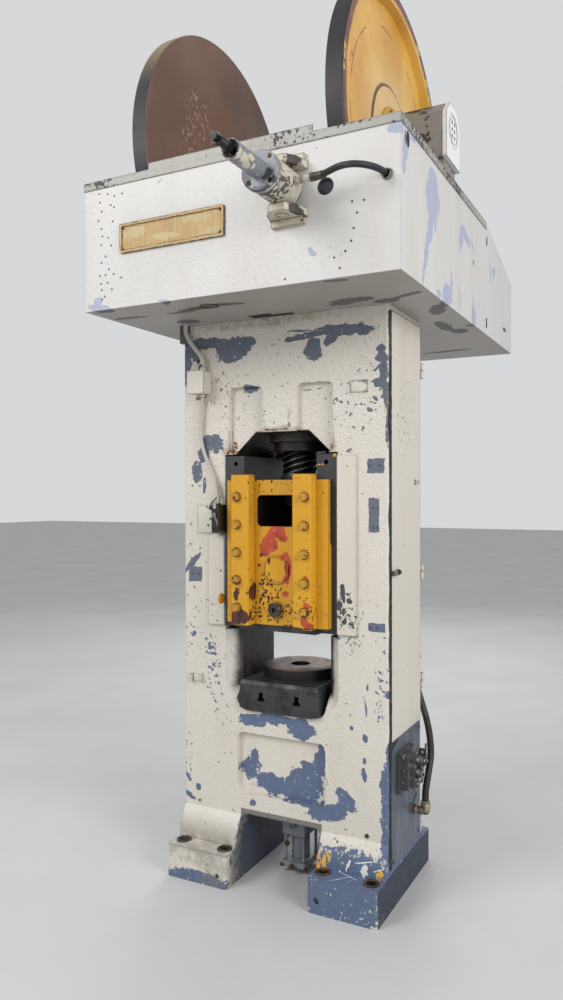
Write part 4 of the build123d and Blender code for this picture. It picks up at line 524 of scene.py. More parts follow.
materials["bracket_paint"] = paint("bracket_paint", srgb(200, 192, 174), srgb(70, 64, 58), [
    ((0.20, -0.60, 2.56), (0.035, 0.05, 0.03), (0, 0, 0)), ((0.28, -0.62, 2.55), (0.03, 0.04, 0.03), (0, 0, 0)),
    ((0.29, -0.63, 2.39), (0.02, 0.02, 0.03), (0, 0, 0)), ((0.30, -0.60, 2.38), (0.02, 0.03, 0.02), (0, 0, 0))],
    chips=1.5, edge_wear=1.5, grime=1.0, ragged=2.2)
def tube_extra(g, colour, chip):
    """Darker near the flange's foot and around the open end."""
    dark = g.ellipses([((0.187, -0.762, 2.450), (0.022, 0.012, 0.030), (0, 0, 0)), ((0.232, -0.762, 2.411), (0.045, 0.012, 0.010), (0, 0, 0)),
                       ((0.284, -0.762, 2.434), (0.012, 0.012, 0.012), (0, 0, 0)), ((0.262, -0.766, 2.452), (0.030, 0.006, 0.020), (0, 0, 0)),
                       ((0.236, -0.929, 2.468), (0.034, 0.004, 0.034), (0, 0, 0))], g.warped(50.0, 0.010, detail=3.0))
    torn = g.math("ADD", dark, g.math("MULTIPLY", g.math("SUBTRACT", g.noise(90.0, detail=5.0), 0.5), 1.6))
    return g.mix(g.math("MULTIPLY", g.ramp(torn, 1.0, 0.9), 0.85), colour, srgb(44, 46, 52))


materials["worn_tube"] = paint("worn_tube", srgb(128, 133, 141), srgb(206, 199, 180), [
    ((0.261, -0.922, 2.454), (0.022, 0.010, 0.018), (0, 0, 0)), ((0.259, -0.885, 2.449), (0.016, 0.020, 0.014), (0, 0, 0)),
    ((0.250, -0.862, 2.443), (0.012, 0.016, 0.008), (0, 0, 0)), ((0.262, -0.862, 2.464), (0.010, 0.022, 0.008), (0, 0, 0)),
    ((0.256, -0.834, 2.447), (0.010, 0.008, 0.010), (0, 0, 0)), ((0.20, -0.80, 2.475), (0.04, 0.022, 0.012), (0, 0, 0)),
    ((0.22, -0.86, 2.49), (0.03, 0.018, 0.014), (0, 0, 0)), ((0.215, -0.90, 2.465), (0.02, 0.012, 0.02), (0, 0, 0)),
    ((0.270, -0.745, 2.412), (0.030, 0.006, 0.012), (0, 0, 0)), ((0.27, -0.745, 2.52), (0.02, 0.008, 0.02), (0, 0, 0))],
    chips=2.0, edge_wear=1.1, grime=0.8, chip_scale=55.0, roughness=0.36, ragged=2.6, warp=0.012, extra=tube_extra)


def door_extra(g, colour, chip):
    """A dark band along the door's front, top and back edges: painted shade of the gaps around the door, with dirt."""
    low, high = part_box("side_door")
    near = g.math("MINIMUM", g.math("SUBTRACT", g.axis("Y"), low[1]), g.math("MINIMUM", g.math("SUBTRACT", high[2], g.axis("Z")), g.math("SUBTRACT", high[1], g.axis("Y"))))
    near = g.math("ADD", near, g.math("MULTIPLY", g.math("SUBTRACT", g.noise(38.0, detail=6.0, rough=0.7), 0.56), 0.022))
    # Painted shade along the door's edges.
    return g.mix(g.ramp(near, 0.0012, 0.0002), colour, srgb(38, 40, 48))


materials["door"] = paint("cream_door", DOOR_CREAM, SLATE, chips=0.7, edge_wear=0.85, extra=door_extra,
                          speckle=[((0.45, 0.02, 1.75), (0.05, 0.16, 0.30), (0, 0, 0))])


def panel_extra(g, colour, chip):
    """Pale run marks down the panel and a dark wedge below the door's front corner."""
    runs = g.noise(5.0, detail=6.0, rough=0.7, at=g.stretched((1.0, 5.0, 0.35)))
    colour = g.mix(g.ramp(runs, 0.50, 0.72, 0.0, 0.55), colour, srgb(134, 140, 152))
    stain = g.ellipses([side(-0.12, 0.60, 0.045, 0.018, 12, 0.437)], g.warped(30.0, 0.02))
    return g.mix(g.ramp(stain, 1.0, 0.8), colour, srgb(30, 30, 34))


materials["panel"] = paint("blue_panel", PANEL_BLUE, SLATE, chips=0.9, edge_wear=0.6, grime=0.7, extra=panel_extra)
materials["left_panel"] = paint("cream_panel", CREAM, SLATE, chips=0.5, edge_wear=0.7)


def ram_extra(g, colour, chip):
    """Red primer that shows beside the emblem, grease near the lower edge, and painted shade in the window and on the
    ram's upper part behind its front plate.
    """
    red = g.ellipses([
        front(0.002, 1.352, 0.040, 0.026, 0, -0.21), front(-0.028, 1.312, 0.034, 0.034, 0, -0.21),
        front(-0.046, 1.280, 0.022, 0.022, 0, -0.21), front(-0.010, 1.296, 0.020, 0.020, 0, -0.21),
        front(0.030, 1.330, 0.020, 0.016, 0, -0.21), front(-0.062, 1.300, 0.012, 0.008, 0, -0.21),
        front(0.052, 1.222, 0.012, 0.050, 0, -0.21), front(0.036, 1.262, 0.022, 0.010, 40, -0.21),
        front(0.044, 1.175, 0.010, 0.018, 20, -0.21), front(0.040, 1.120, 0.014, 0.012, 0, -0.21),
        front(0.098, 1.060, 0.012, 0.022, 30, -0.21), front(0.152, 1.09, 0.016, 0.010, -20, -0.26),
        front(0.140, 1.03, 0.016, 0.018, 0, -0.26), front(0.155, 1.018, 0.014, 0.014, 0, -0.26),
        front(0.150, 1.19, 0.014, 0.006, -20, -0.26), front(-0.118, 1.050, 0.014, 0.010, 0, -0.26)], g.warped(24.0, 0.016, detail=4.0))
    torn = g.math("ADD", red, g.math("MULTIPLY", g.math("SUBTRACT", g.noise(60.0, detail=5.0), 0.5), 0.7))
    tone = g.mix(g.ramp(g.noise(16.0), 0.4, 0.65), srgb(196, 84, 52), srgb(160, 62, 40))
    colour = g.mix(g.ramp(torn, 1.0, 0.96), colour, tone)
    oil = g.ellipses([
        front(-0.128, 1.030, 0.050, 0.026, 0, -0.26), front(-0.146, 1.060, 0.024, 0.026, 0, -0.26),
        front(-0.146, 1.115, 0.012, 0.028, -12, -0.26), front(-0.095, 1.126, 0.010, 0.036, 0, -0.22),
        front(-0.028, 1.245, 0.006, 0.018, 0, -0.218), front(0.040, 1.225, 0.004, 0.020, 0, -0.215),
        front(-0.17, 1.01, 0.05, 0.012, 0, -0.24), front(0.10, 1.004, 0.10, 0.006, 0, -0.24),
        front(-0.066, 1.262, 0.006, 0.010, 0, -0.21), front(-0.073, 1.225, 0.005, 0.008, 0, -0.21),
        front(-0.037, 1.155, 0.006, 0.010, 0, -0.21), front(-0.035, 1.10, 0.007, 0.012, 0, -0.21)], g.warped(40.0, 0.016, detail=4.0))
    smear = g.math("ADD", oil, g.math("MULTIPLY", g.math("SUBTRACT", g.noise(70.0, detail=5.0), 0.5), 1.5))
    colour = g.mix(g.ramp(smear, 0.95, 0.85), colour, g.mix(g.ramp(g.noise(50.0), 0.4, 0.6), srgb(58, 34, 30), srgb(96, 50, 34)))
    # Painted shade: the window's reveals and the cavity behind the front plate are painted near black.
    (x0, y0, z0), (x1, y1, z1) = WINDOW
    inside = g.math("MULTIPLY", g.ramp(g.axis("X"), x0 - 0.0095, x0 - 0.0085), g.ramp(g.axis("X"), x1 + 0.0095, x1 + 0.0085))
    inside = g.math("MULTIPLY", inside, g.math("MULTIPLY", g.ramp(g.axis("Z"), z0 - 0.0095, z0 - 0.0085), g.ramp(g.axis("Z"), z1 + 0.0095, z1 + 0.0085)))
    inside = g.math("MULTIPLY", inside, g.ramp(g.axis("Y"), -0.2085, -0.2065))
    colour = g.mix(inside, colour, srgb(20, 19, 20))
    # Painted shade: the ram's upper part behind its front plate, inside the throat, is darkened.
    ram_top_shade = g.math("MULTIPLY", g.ramp(g.axis("Y"), -0.20, -0.19), g.ramp(g.axis("Z"), 1.3, 1.32))
    ram_top_shade = g.math("MULTIPLY", ram_top_shade, g.ramp(g.axis("Y"), 0.205, 0.195))
    return g.mix(g.math("MULTIPLY", ram_top_shade, 0.85), colour, srgb(34, 31, 29))


WINDOW = next(one["box_m"] for one in frame["record"]["physics"]["openings"] if one["name"] == "ram_window")


def plate_extra(g, colour, chip):
    """Upright scuffs over the field and dark dirt along the border."""
    x, z = g.axis("X"), g.axis("Z")
    runs = g.noise(9.0, detail=5.0, rough=0.7, at=g.stretched((7.0, 1.0, 0.6)))
    colour = g.mix(g.ramp(runs, 0.48, 0.66, 0.0, 0.4), colour, srgb(212, 196, 156))
    near = g.math("MINIMUM", g.math("MINIMUM", g.math("SUBTRACT", x, -0.447), g.math("SUBTRACT", -0.007, x)),
                  g.math("MINIMUM", g.math("SUBTRACT", z, 2.365), g.math("SUBTRACT", 2.470, z)))
    near = g.math("ADD", near, g.math("MULTIPLY", g.math("SUBTRACT", g.noise(40.0, detail=5.0), 0.5), 0.012))
    line = g.math("MULTIPLY", g.ramp(near, 0.0085, 0.0105), g.ramp(near, 0.0145, 0.0125))
    colour = g.mix(g.math("MULTIPLY", line, 0.85), colour, srgb(92, 66, 34))
    return g.mix(g.ramp(near, 0.0025, 0.0005), colour, srgb(84, 62, 36))


materials["rail_paint"] = paint("rail_paint", srgb(132, 138, 150), srgb(60, 58, 60), chips=1.6, edge_wear=1.2, grime=0.8,
                                extra=lambda g, colour, chip: g.mix(g.ramp(g.math("ADD", g.axis("Z"), g.math("MULTIPLY", g.noise(30.0), 0.03)), 1.345, 1.375),
                                                                    colour, srgb(28, 28, 30)))
materials["gib_iron"] = paint("gib_iron", srgb(54, 54, 58), srgb(206, 150, 40), [
    front(GIB_X, GIB_Z, 0.007, 0.0035), front(GIB_X + 0.016, GIB_Z + 0.001, 0.005, 0.0035), front(GIB_X - 0.014, GIB_Z - 0.001, 0.004, 0.003),
    front(0.226, 1.640, 0.006, 0.006)], chips=0.5, edge_wear=0.0, grime=0.8, ragged=2.4, warp=0.01, roughness=0.5)
materials["bolt_paint"] = paint("bolt_paint", srgb(192, 142, 40), srgb(62, 44, 30), chips=2.2, edge_wear=1.7, grime=1.0,
                                edge_radius=0.006, chip_scale=60.0)
materials["ram"] = paint(
    "yellow_paint", YELLOW, srgb(62, 38, 30), chips=1.3, edge_wear=1.15, grime=0.45, chip_scale=80.0,
    extra=ram_extra, edge_radius=0.007, roughness=0.36,
    speckle=[front(-0.03, 1.13, 0.07, 0.08, 0, -0.21), front(0.0, 1.05, 0.2, 0.06, 0, -0.22)])
materials["hub_yellow"] = paint("hub_yellow", srgb(206, 158, 40), srgb(70, 50, 34), chips=1.2, edge_wear=1.0, grime=0.8)
materials["plate_gold"] = paint("plate_gold", srgb(190, 152, 82), srgb(204, 184, 136), [
    front(-0.38, 2.43, 0.05, 0.02, 0, -0.57), front(-0.25, 2.40, 0.06, 0.012, 0, -0.57), front(-0.12, 2.44, 0.07, 0.01, 0, -0.57),
    front(-0.05, 2.39, 0.04, 0.01, 0, -0.57)], chips=1.4, edge_wear=0.5, grime=1.0,
    chip_scale=110.0, edge_radius=0.004, ragged=2.6, extra=plate_extra)
materials["grey_paint"] = paint("grey_paint", srgb(136, 142, 148), srgb(58, 54, 50), chips=1.0, edge_wear=0.9, grime=0.6)
materials["valve_paint"] = paint("valve_paint", srgb(66, 67, 70), srgb(92, 90, 88), chips=1.3, edge_wear=1.3, grime=0.3,
                                 chip_scale=50.0)


def iron(name, colour, dark, rust, roughness=0.5, metallic=0.6, amount=0.5, rings=None, scale=14.0, side_shade=None):
    """Bare iron or steel with oil stains and rust."""
    g = Graph(name)
    cloud = g.noise(scale, detail=6.0, rough=0.65)
    stain = g.noise(4.0, detail=4.0)
    shade = g.mix(g.ramp(cloud, 0.35, 0.7), colour, dark)
    shade = g.mix(g.ramp(stain, 0.62 - 0.2 * amount, 0.8 - 0.2 * amount, 0.0, 0.9), shade, rust)
    fine = g.noise(260.0, detail=3.0)
    rough = g.math("ADD", g.ramp(cloud, 0.3, 0.7, roughness - 0.12, roughness + 0.14), g.math("MULTIPLY", g.math("SUBTRACT", fine, 0.5), 0.2))
    rim = g.edge(0.003, 1.8)
    shade = g.mix(g.math("MULTIPLY", rim, 0.6), shade, tuple(min(1.0, c * 2.2) for c in colour[:3]) + (1.0,))
    # Painted shade: faces that stand upright take the darker side colour, as if shaded under light from above.
    if side_shade is not None:
        side_shade_mask = g.ramp(g.math("ABSOLUTE", g.normal_axis("Z")), 0.7, 0.4, 0.0, 0.85)
        shade = g.mix(side_shade_mask, shade, side_shade)
    if rings is not None:
        axes, pitch = rings
        flat = g.vector("MULTIPLY", g.place, axes)
        radius = g.vector("LENGTH", flat, out="Value")
        wave = g.math("SINE", g.math("MULTIPLY", radius, 2 * math.pi / pitch))
        g.bump(wave, 0.0002)
    g.bump(fine, 0.0004)
    g.bump(cloud, 0.0008)
    return g.done(shade, rough, metallic)


materials["dark_iron"] = iron("dark_iron", srgb(72, 71, 72), srgb(46, 45, 46), srgb(78, 66, 56), 0.55, 0.5, 0.3)
materials["dark_steel"] = iron("dark_steel", srgb(88, 82, 76), srgb(52, 48, 46), srgb(104, 78, 56), 0.42, 0.7, 0.5)
# The ring's upright sides carry painted shade.
materials["ring_steel"] = iron("ring_steel", srgb(78, 72, 66), srgb(60, 54, 49), srgb(124, 84, 50), 0.45, 0.5, 0.8, side_shade=srgb(30, 31, 34))
materials["bright_steel"] = iron("bright_steel", srgb(150, 148, 144), srgb(104, 102, 100), srgb(110, 92, 74), 0.34, 0.85, 0.2)
materials["greasy_bronze"] = iron("greasy_bronze", srgb(58, 48, 42), srgb(30, 28, 28), srgb(84, 62, 50), 0.34, 0.4, 0.4, scale=9.0)
materials["bronze"] = iron("bronze", srgb(150, 118, 66), srgb(104, 78, 44), srgb(86, 66, 44), 0.4, 0.8, 0.3)
materials["brass_fitting"] = iron("brass_fitting", srgb(170, 156, 124), srgb(120, 108, 84), srgb(92, 78, 60), 0.32, 0.9, 0.4)
materials["black_oxide"] = iron("black_oxide", srgb(44, 44, 48), srgb(26, 26, 28), srgb(58, 50, 44), 0.38, 0.6, 0.3)
materials["oily_steel"] = iron("oily_steel", srgb(132, 130, 128), srgb(40, 40, 42), srgb(74, 64, 54), 0.34, 0.85, 0.2, scale=70.0)
materials["rusty_steel"] = iron("rusty_steel", srgb(70, 64, 58), srgb(40, 36, 34), srgb(96, 62, 40), 0.6, 0.3, 1.2)
materials["chrome_brass"] = iron("chrome_brass", srgb(196, 188, 166), srgb(150, 138, 112), srgb(104, 88, 66), 0.2, 1.0, 0.3)
materials["grey_bracket"] = iron("grey_bracket", srgb(112, 106, 100), srgb(84, 78, 72), srgb(70, 62, 54), 0.6, 0.2, 0.4)
materials["black_gap"] = iron("black_gap", srgb(22, 22, 23), srgb(14, 14, 15), srgb(40, 36, 32), 0.7, 0.0, 0.2)


def screw_material():
    """Bright worn crests over black grease in the thread's roots."""
    g = Graph("screw_steel")
    radius = g.vector("LENGTH", g.vector("MULTIPLY", g.place, (1.0, 1.0, 0.0)), out="Value")
    cloud = g.noise(18.0, detail=5.0)
    crest = g.ramp(g.math("ADD", radius, g.math("MULTIPLY", g.math("SUBTRACT", cloud, 0.5), 0.003)), 0.0665, 0.0695)
    steel = g.mix(g.ramp(cloud, 0.4, 0.65), srgb(96, 94, 94), srgb(52, 50, 50))
    shade = g.mix(crest, srgb(26, 25, 26), steel)
    g.bump(g.noise(220.0, detail=3.0), 0.0003)
    return g.done(shade, g.ramp(cloud, 0.3, 0.7, 0.22, 0.4), 0.75)


materials["screw_steel"] = screw_material()


def left_disc_material():
    """A turned iron face gone brown, with a dark steel rim carrying a painted highlight along its top, and whitish
    marks near the hub that are painted highlights.
    """
    g = Graph("rusty_iron")
    centred = g.vector("SUBTRACT", g.place, (0.0, 0.0, 2.81))
    radius = g.vector("LENGTH", g.vector("MULTIPLY", centred, (0.0, 1.0, 1.0)), out="Value")
    cloud = g.noise(3.2, detail=4.0)
    shade = g.mix(g.ramp(cloud, 0.35, 0.65, 0.0, 0.8), srgb(134, 100, 84), srgb(116, 88, 76))
    shade = g.mix(g.ramp(radius, 0.16, 0.44), srgb(152, 104, 76), shade)
    oil = g.noise(75.0, detail=4.0, rough=0.7, at=g.stretched((1.0, 1.0, 0.6)))
    near = g.ellipses([((-0.352, -0.19, 2.99), (0.10, 0.13, 0.15), (0.3, 0, 0)), ((-0.352, -0.27, 2.86), (0.10, 0.07, 0.10), (0, 0, 0))], g.warped(8.0, 0.06))
    # Painted highlight: whitish sparkle marks near the hub, which are also smoother and slightly raised.
    highlight_marks = g.math("MULTIPLY", g.ramp(near, 1.0, 0.3), g.ramp(oil, 0.555, 0.60))
    shade = g.mix(g.math("MULTIPLY", highlight_marks, 0.75), shade, srgb(206, 190, 176))
    rim = g.ramp(radius, 0.5385, 0.5395)
    steel = g.mix(g.ramp(g.noise(9.0, detail=4.0), 0.4, 0.6), srgb(58, 57, 60), srgb(44, 43, 47))
    # Painted highlight along the top of the rim.
    rim_highlight = g.ramp(g.math("ADD", g.axis("Z"), g.math("MULTIPLY", g.noise(6.0), 0.12)), 3.02, 3.30)
    steel = g.mix(rim_highlight, steel, srgb(150, 132, 98))
    shade = g.mix(rim, shade, steel)
    rough = g.math("SUBTRACT", g.ramp(cloud, 0.3, 0.7, 0.44, 0.58), g.math("MULTIPLY", highlight_marks, 0.22))
    g.bump(g.math("SINE", g.math("MULTIPLY", radius, 2 * math.pi / 0.0016)), 0.00006)
    g.bump(g.math("MULTIPLY", highlight_marks, oil), 0.0016)
    g.bump(g.noise(200.0, detail=2.0), 0.0002)
    return g.done(shade, rough, 0.3)


materials["rusty_iron"] = left_disc_material()


def right_disc_material():
    """Yellow enamel on the web with a thin brown ring and a painted highlight paling it towards the hub, and a bare
    brown rim.
    """
    g = Graph("disc_paint")
    centred = g.vector("SUBTRACT", g.place, (0.0, 0.0, 2.81))
    radius = g.vector("LENGTH", g.vector("MULTIPLY", centred, (0.0, 1.0, 1.0)), out="Value")
    wave = g.math("MULTIPLY", g.math("SUBTRACT", g.noise(8.0, detail=3.0), 0.5), 0.012)
    edge = g.math("ADD", radius, wave)
    coat = g.mix(g.ramp(g.noise(4.0, detail=5.0), 0.35, 0.7), srgb(226, 178, 84), srgb(206, 150, 52))
    # Painted highlight: the web pales towards the hub.
    web_highlight = g.ramp(radius, 0.36, 0.14, 0.0, 0.55)
    coat = g.mix(web_highlight, coat, srgb(232, 206, 150))
    ring = g.math("MULTIPLY", g.ramp(edge, 0.196, 0.200), g.ramp(edge, 0.214, 0.209))
    coat = g.mix(ring, coat, srgb(112, 74, 58))
    ridge = g.math("MULTIPLY", g.ramp(edge, 0.398, 0.400), g.ramp(edge, 0.405, 0.403))
    ridge = g.math("MULTIPLY", ridge, g.ramp(g.noise(5.0, detail=2.0), 0.44, 0.52))
    coat = g.mix(ridge, coat, srgb(128, 70, 34))
    worn = g.math("MULTIPLY", g.ramp(edge, 0.500, 0.512), g.ramp(g.noise(14.0, detail=5.0, rough=0.7), 0.38, 0.46))
    coat = g.mix(worn, coat, srgb(108, 52, 34))
    scratch = g.cells(5.0, at=g.warped(6.0, 0.16), feature="DISTANCE_TO_EDGE")
    coat = g.mix(g.math("MULTIPLY", g.ramp(scratch, 0.006, 0.002), g.ramp(g.noise(3.0), 0.5, 0.62)), coat, srgb(130, 84, 40))
    chips = g.ramp(g.noise(80.0, detail=3.0), 0.70, 0.715)
    coat = g.mix(chips, coat, srgb(120, 84, 56))
    steel = g.mix(g.ramp(g.noise(12.0, detail=5.0), 0.4, 0.6), srgb(31, 29, 34), srgb(27, 20, 22))
    outer = g.ramp(edge, 0.531, 0.535)
    inner_face = g.ramp(g.axis("X"), 0.366, 0.362)
    bare = g.math("MAXIMUM", outer, inner_face)
    shade = g.mix(bare, coat, steel)
    rough = g.mix(bare, (0.34, 0.34, 0.34, 1.0), (0.5, 0.5, 0.5, 1.0))
    g.bump(g.noise(140.0, detail=3.0), 0.0006)
    return g.done(shade, rough)


materials["right_disc"] = right_disc_material()


def plain_soft(name, colour, roughness, speck=0.25, bump=0.0004, scale=160.0):
    """Rubber, plastic, leather or fabric with fine mottling and dust."""
    g = Graph(name)
    fine = g.noise(scale, detail=4.0)
    dust = g.noise(11.0, detail=5.0)
    shade = g.mix(g.ramp(fine, 0.3, 0.7, 0.0, speck), colour, tuple(c * 0.55 for c in colour[:3]) + (1.0,))
    shade = g.mix(g.ramp(dust, 0.5, 0.8, 0.0, 0.35), shade, srgb(120, 112, 102))
    g.bump(fine, bump)
    return g.done(shade, g.math("ADD", g.math("MULTIPLY", g.math("SUBTRACT", fine, 0.5), 0.2), roughness))


materials["black_rubber"] = plain_soft("black_rubber", srgb(34, 34, 36), 0.5)
# Black for the dome plug; the same black is painted shade on discs that stand in for holes.
materials["black_plugs_and_hole_shade"] = plain_soft("black_plugs_and_hole_shade", srgb(22, 25, 40), 0.6, 0.3, 0.0001)
materials["black_plastic"] = plain_soft("black_plastic", srgb(34, 34, 34), 0.45)
materials["grey_sheath"] = plain_soft("grey_sheath", srgb(196, 190, 178), 0.5)
materials["friction_leather"] = plain_soft("friction_leather", srgb(112, 76, 50), 0.75, 0.6, 0.0012, 90.0)
materials["belt_fabric"] = plain_soft("belt_fabric", srgb(96, 78, 60), 0.8, 0.6, 0.001, 220.0)

by_node = {
    "column_casting": "column_casting",
    "head_housing": "head_housing", "head_cover": "lid", "rear_cover": "head_housing",
    "side_door": "door", "door_latch": "dark_steel", "door_hinges": "door",
    "gib_face_plates": "gib_plate", "right_bearing_housing": "grimy_cream",
    "left_bearing_housing": "grimy_cream", "bearing_end_cover": "white_cover",
    "brake_cylinder": "cylinder_paint", "trunnion_brackets": "bracket_paint", "lever_bracket": "bracket_paint",
    "junction_box": "cream_sheet", "side_panels": "panel",
    "ram": "ram", "ram_bolts": "bolt_paint", "tool_plate": "dark_iron", "trip_rail": "rail_paint", "right_disc": "right_disc",
    "name_plate": "plate_gold", "left_disc": "rusty_iron",
    "gibs": "gib_iron", "flywheel": "dark_iron", "bolster_block": "dark_iron", "die_plate": "dark_iron",
    "shaft_pulley": "dark_iron", "brake_lever": "dark_iron",
    "die_ring": "ring_steel", "foot_bushes": "dark_steel", "clamp_screw": "dark_steel",
    "screw_collar": "dark_steel", "flywheel_nut": "dark_steel", "shaft_nut": "dark_steel", "cap_screws": "dark_steel",
    "screw": "screw_steel", "disc_shaft": "bright_steel", "thrust_sleeve": "bright_steel",
    "cylinder_cap": "worn_tube", "brake_rod": "black_oxide", "ejector_rod": "bright_steel",
    "motor_rotor": "bright_steel", "valve_handle": "bright_steel", "switch_lever": "bright_steel",
    "motor": "grey_paint", "ejector_cylinder": "grey_paint", "valve_block": "valve_paint", "stop_valve": "valve_paint",
    "screw_nut": "greasy_bronze", "thrust_washer": "greasy_bronze", "hose_fittings": "brass_fitting",
    "flywheel_lining": "friction_leather", "brake_shoe": "friction_leather", "drive_belt": "belt_fabric",
    "air_hose": "black_rubber", "cylinder_hose": "black_rubber",
    "conduit": "grey_sheath", "switch_cable": "grey_sheath", "limit_switch": "black_plastic",
}
for name, thing in nodes.items():
    for slot in thing.material_slots:
        slot.material = materials[by_node[name]]


# ---------------------------------------------------------------- pieces

def smooth_by_angle(mesh, degrees=34.0):
    bm = bmesh.new()
    bm.from_mesh(mesh)
    limit = math.radians(degrees)
    for face in bm.faces:
        face.smooth = True
    for line in bm.edges:
        line.smooth = len(line.link_faces) == 2 and line.calc_face_angle(0.0) < limit
    bm.to_mesh(mesh)
    bm.free()


class Piece:
    """Geometry gathered into one mesh in the row frame."""

    def __init__(self, name):
        self.name = name
        self.bm = bmesh.new()
        self.index = 0

    def place(self, at, axis):
        axis = Vector(axis).normalized()
        return Matrix.Translation(Vector(at)) @ axis.to_track_quat("Z", "Y").to_matrix().to_4x4()

    def lathe(self, profile, at, axis=(0, 0, 1), segments=32, close=False):
        """Turns (radius, height) points about the axis; a radius of 0 closes an end."""
        where = self.place(at, axis)
        rows = []
        for radius, height in profile:
            if radius == 0:
                rows.append([self.bm.verts.new(where @ Vector((0, 0, height)))])
            else:
                rows.append([self.bm.verts.new(where @ Vector((
                    radius * math.cos(2 * math.pi * i / segments),
                    radius * math.sin(2 * math.pi * i / segments), height))) for i in range(segments)])
        pairs = list(zip(rows, rows[1:]))
        if close:
            pairs.append((rows[-1], rows[0]))
        for low, high in pairs:
            for i in range(segments):
                j = (i + 1) % segments
                corners = [low[i % len(low)], low[j % len(low)], high[j % len(high)], high[i % len(high)]]
                unique = []
                for corner in corners:
                    if corner not in unique:
                        unique.append(corner)
                if len(unique) > 2:
                    face = self.bm.faces.new(unique)
                    face.material_index = self.index

    def prism(self, outline, at, axis, height, turn=0.0, chamfer=0.0):
        """Extrudes (x, y) points along the axis, with a chamfer on the far end."""
        where = self.place(at, axis) @ Matrix.Rotation(turn, 4, "Z")
        centre = (sum(p[0] for p in outline) / len(outline), sum(p[1] for p in outline) / len(outline))
        levels = [(0.0, 1.0), (height - chamfer, 1.0)]
        if chamfer:
            reach = max(math.hypot(p[0] - centre[0], p[1] - centre[1]) for p in outline)
            levels.append((height, 1.0 - chamfer / reach))
        rows = []
        for level, scale in levels:
            rows.append([self.bm.verts.new(where @ Vector((
                centre[0] + (p[0] - centre[0]) * scale, centre[1] + (p[1] - centre[1]) * scale, level))) for p in outline])
        count = len(outline)
        faces = [self.bm.faces.new(list(reversed(rows[0]))), self.bm.faces.new(rows[-1])]
        for low, high in zip(rows, rows[1:]):
            for i in range(count):
                j = (i + 1) % count
                faces.append(self.bm.faces.new([low[i], low[j], high[j], high[i]]))
        for face in faces:
            face.material_index = self.index

    def hexagon(self, at, axis, flats, height, turn=0.0):
        radius = flats / math.sqrt(3)
        points = [(radius * math.cos(math.pi / 3 * i), radius * math.sin(math.pi / 3 * i)) for i in range(6)]
        self.prism(points, at, axis, height, turn, chamfer=height * 0.12)

    def block(self, low, high, bevel=0.001):
        """A box with small bevels."""
        low, high = Vector(low), Vector(high)
        made = bmesh.ops.create_cube(self.bm, size=1.0)
        verts = made["verts"]
        for vert in verts:
            vert.co = Vector((low[i] + (vert.co[i] + 0.5) * (high[i] - low[i]) for i in range(3)))
        edges = {line for vert in verts for line in vert.link_edges}
        faces = {face for vert in verts for face in vert.link_faces}
        for face in faces:
            face.material_index = self.index
        if bevel:
            out = bmesh.ops.bevel(self.bm, geom=list(edges), offset=bevel, segments=2, affect="EDGES", profile=0.5)
            for face in out["faces"]:
                face.material_index = self.index

    def tube(self, points, radius, segments=10, steps=6):
        """A round bar along a smooth line through the points."""
        pts = [Vector(p) for p in points]
        line = []
        for i in range(len(pts) - 1):
            a, b = pts[max(i - 1, 0)], pts[i]
            c, d = pts[i + 1], pts[min(i + 2, len(pts) - 1)]
            for k in range(steps):
                t = k / steps
                line.append(0.5 * (2 * b + (c - a) * t + (2 * a - 5 * b + 4 * c - d) * t * t + (3 * b - a - 3 * c + d) * t ** 3))
        line.append(pts[-1])
        side, rows = None, []
        for i, p in enumerate(line):
            ahead = (line[min(i + 1, len(line) - 1)] - line[max(i - 1, 0)]).normalized()
            if side is None:
                side = ahead.orthogonal().normalized()
            side = (side - ahead * side.dot(ahead)).normalized()
            up = ahead.cross(side)
            rows.append([self.bm.verts.new(p + radius * (math.cos(2 * math.pi * k / segments) * side + math.sin(2 * math.pi * k / segments) * up))
                         for k in range(segments)])
        faces = [self.bm.faces.new(list(reversed(rows[0]))), self.bm.faces.new(rows[-1])]
        for low, high in zip(rows, rows[1:]):
            for k in range(segments):
                j = (k + 1) % segments
                faces.append(self.bm.faces.new([low[k], low[j], high[j], high[k]]))
        for face in faces:
            face.material_index = self.index

    def ring(self, at, axis, radius, thick, segments=36, around=8):
        """A torus."""
        profile = [(radius + thick * math.cos(2 * math.pi * k / around), thick * math.sin(2 * math.pi * k / around)) for k in range(around)]
        self.lathe(profile, at, axis, segments, close=True)

    def oval(self, at, axis, wide, high, thick, turn=0.0, segments=28, power=2.0):
        """A thin rounded plate."""
        points = []
        for k in range(segments):
            c, d = math.cos(2 * math.pi * k / segments), math.sin(2 * math.pi * k / segments)
            points.append((wide * math.copysign(abs(c) ** (2 / power), c), high * math.copysign(abs(d) ** (2 / power), d)))
        self.prism(points, at, axis, thick, turn, chamfer=thick * 0.5)

    def cap_screw(self, at, axis, radius, height):
        """A round head with a hex socket."""
        socket = radius * 0.5
        self.lathe([(radius, 0.0), (radius, height * 0.86), (radius * 0.9, height), (socket, height),
                    (socket, height * 0.45), (0, height * 0.4)], at, axis, 24)

    def finish(self, body, finishes, slot, replaced=()):
        bmesh.ops.recalc_face_normals(self.bm, faces=self.bm.faces)
        mesh = bpy.data.meshes.new(self.name)
        self.bm.to_mesh(mesh)
        self.bm.free()
        smooth_by_angle(mesh)
        made = bpy.data.objects.new(self.name, mesh)
        bpy.context.scene.collection.objects.link(made)
        for finish in finishes:
            mesh.materials.append(materials[finish])
        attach(made, body)
        if replaced:
            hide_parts(*replaced)
        return made


# The screw: five starts, 120 mm of lead, right-handed.
THREAD = (1.572, 2.172)
CREST, ROOT = 0.070, 0.0585
STARTS, LEAD = 5, 0.120


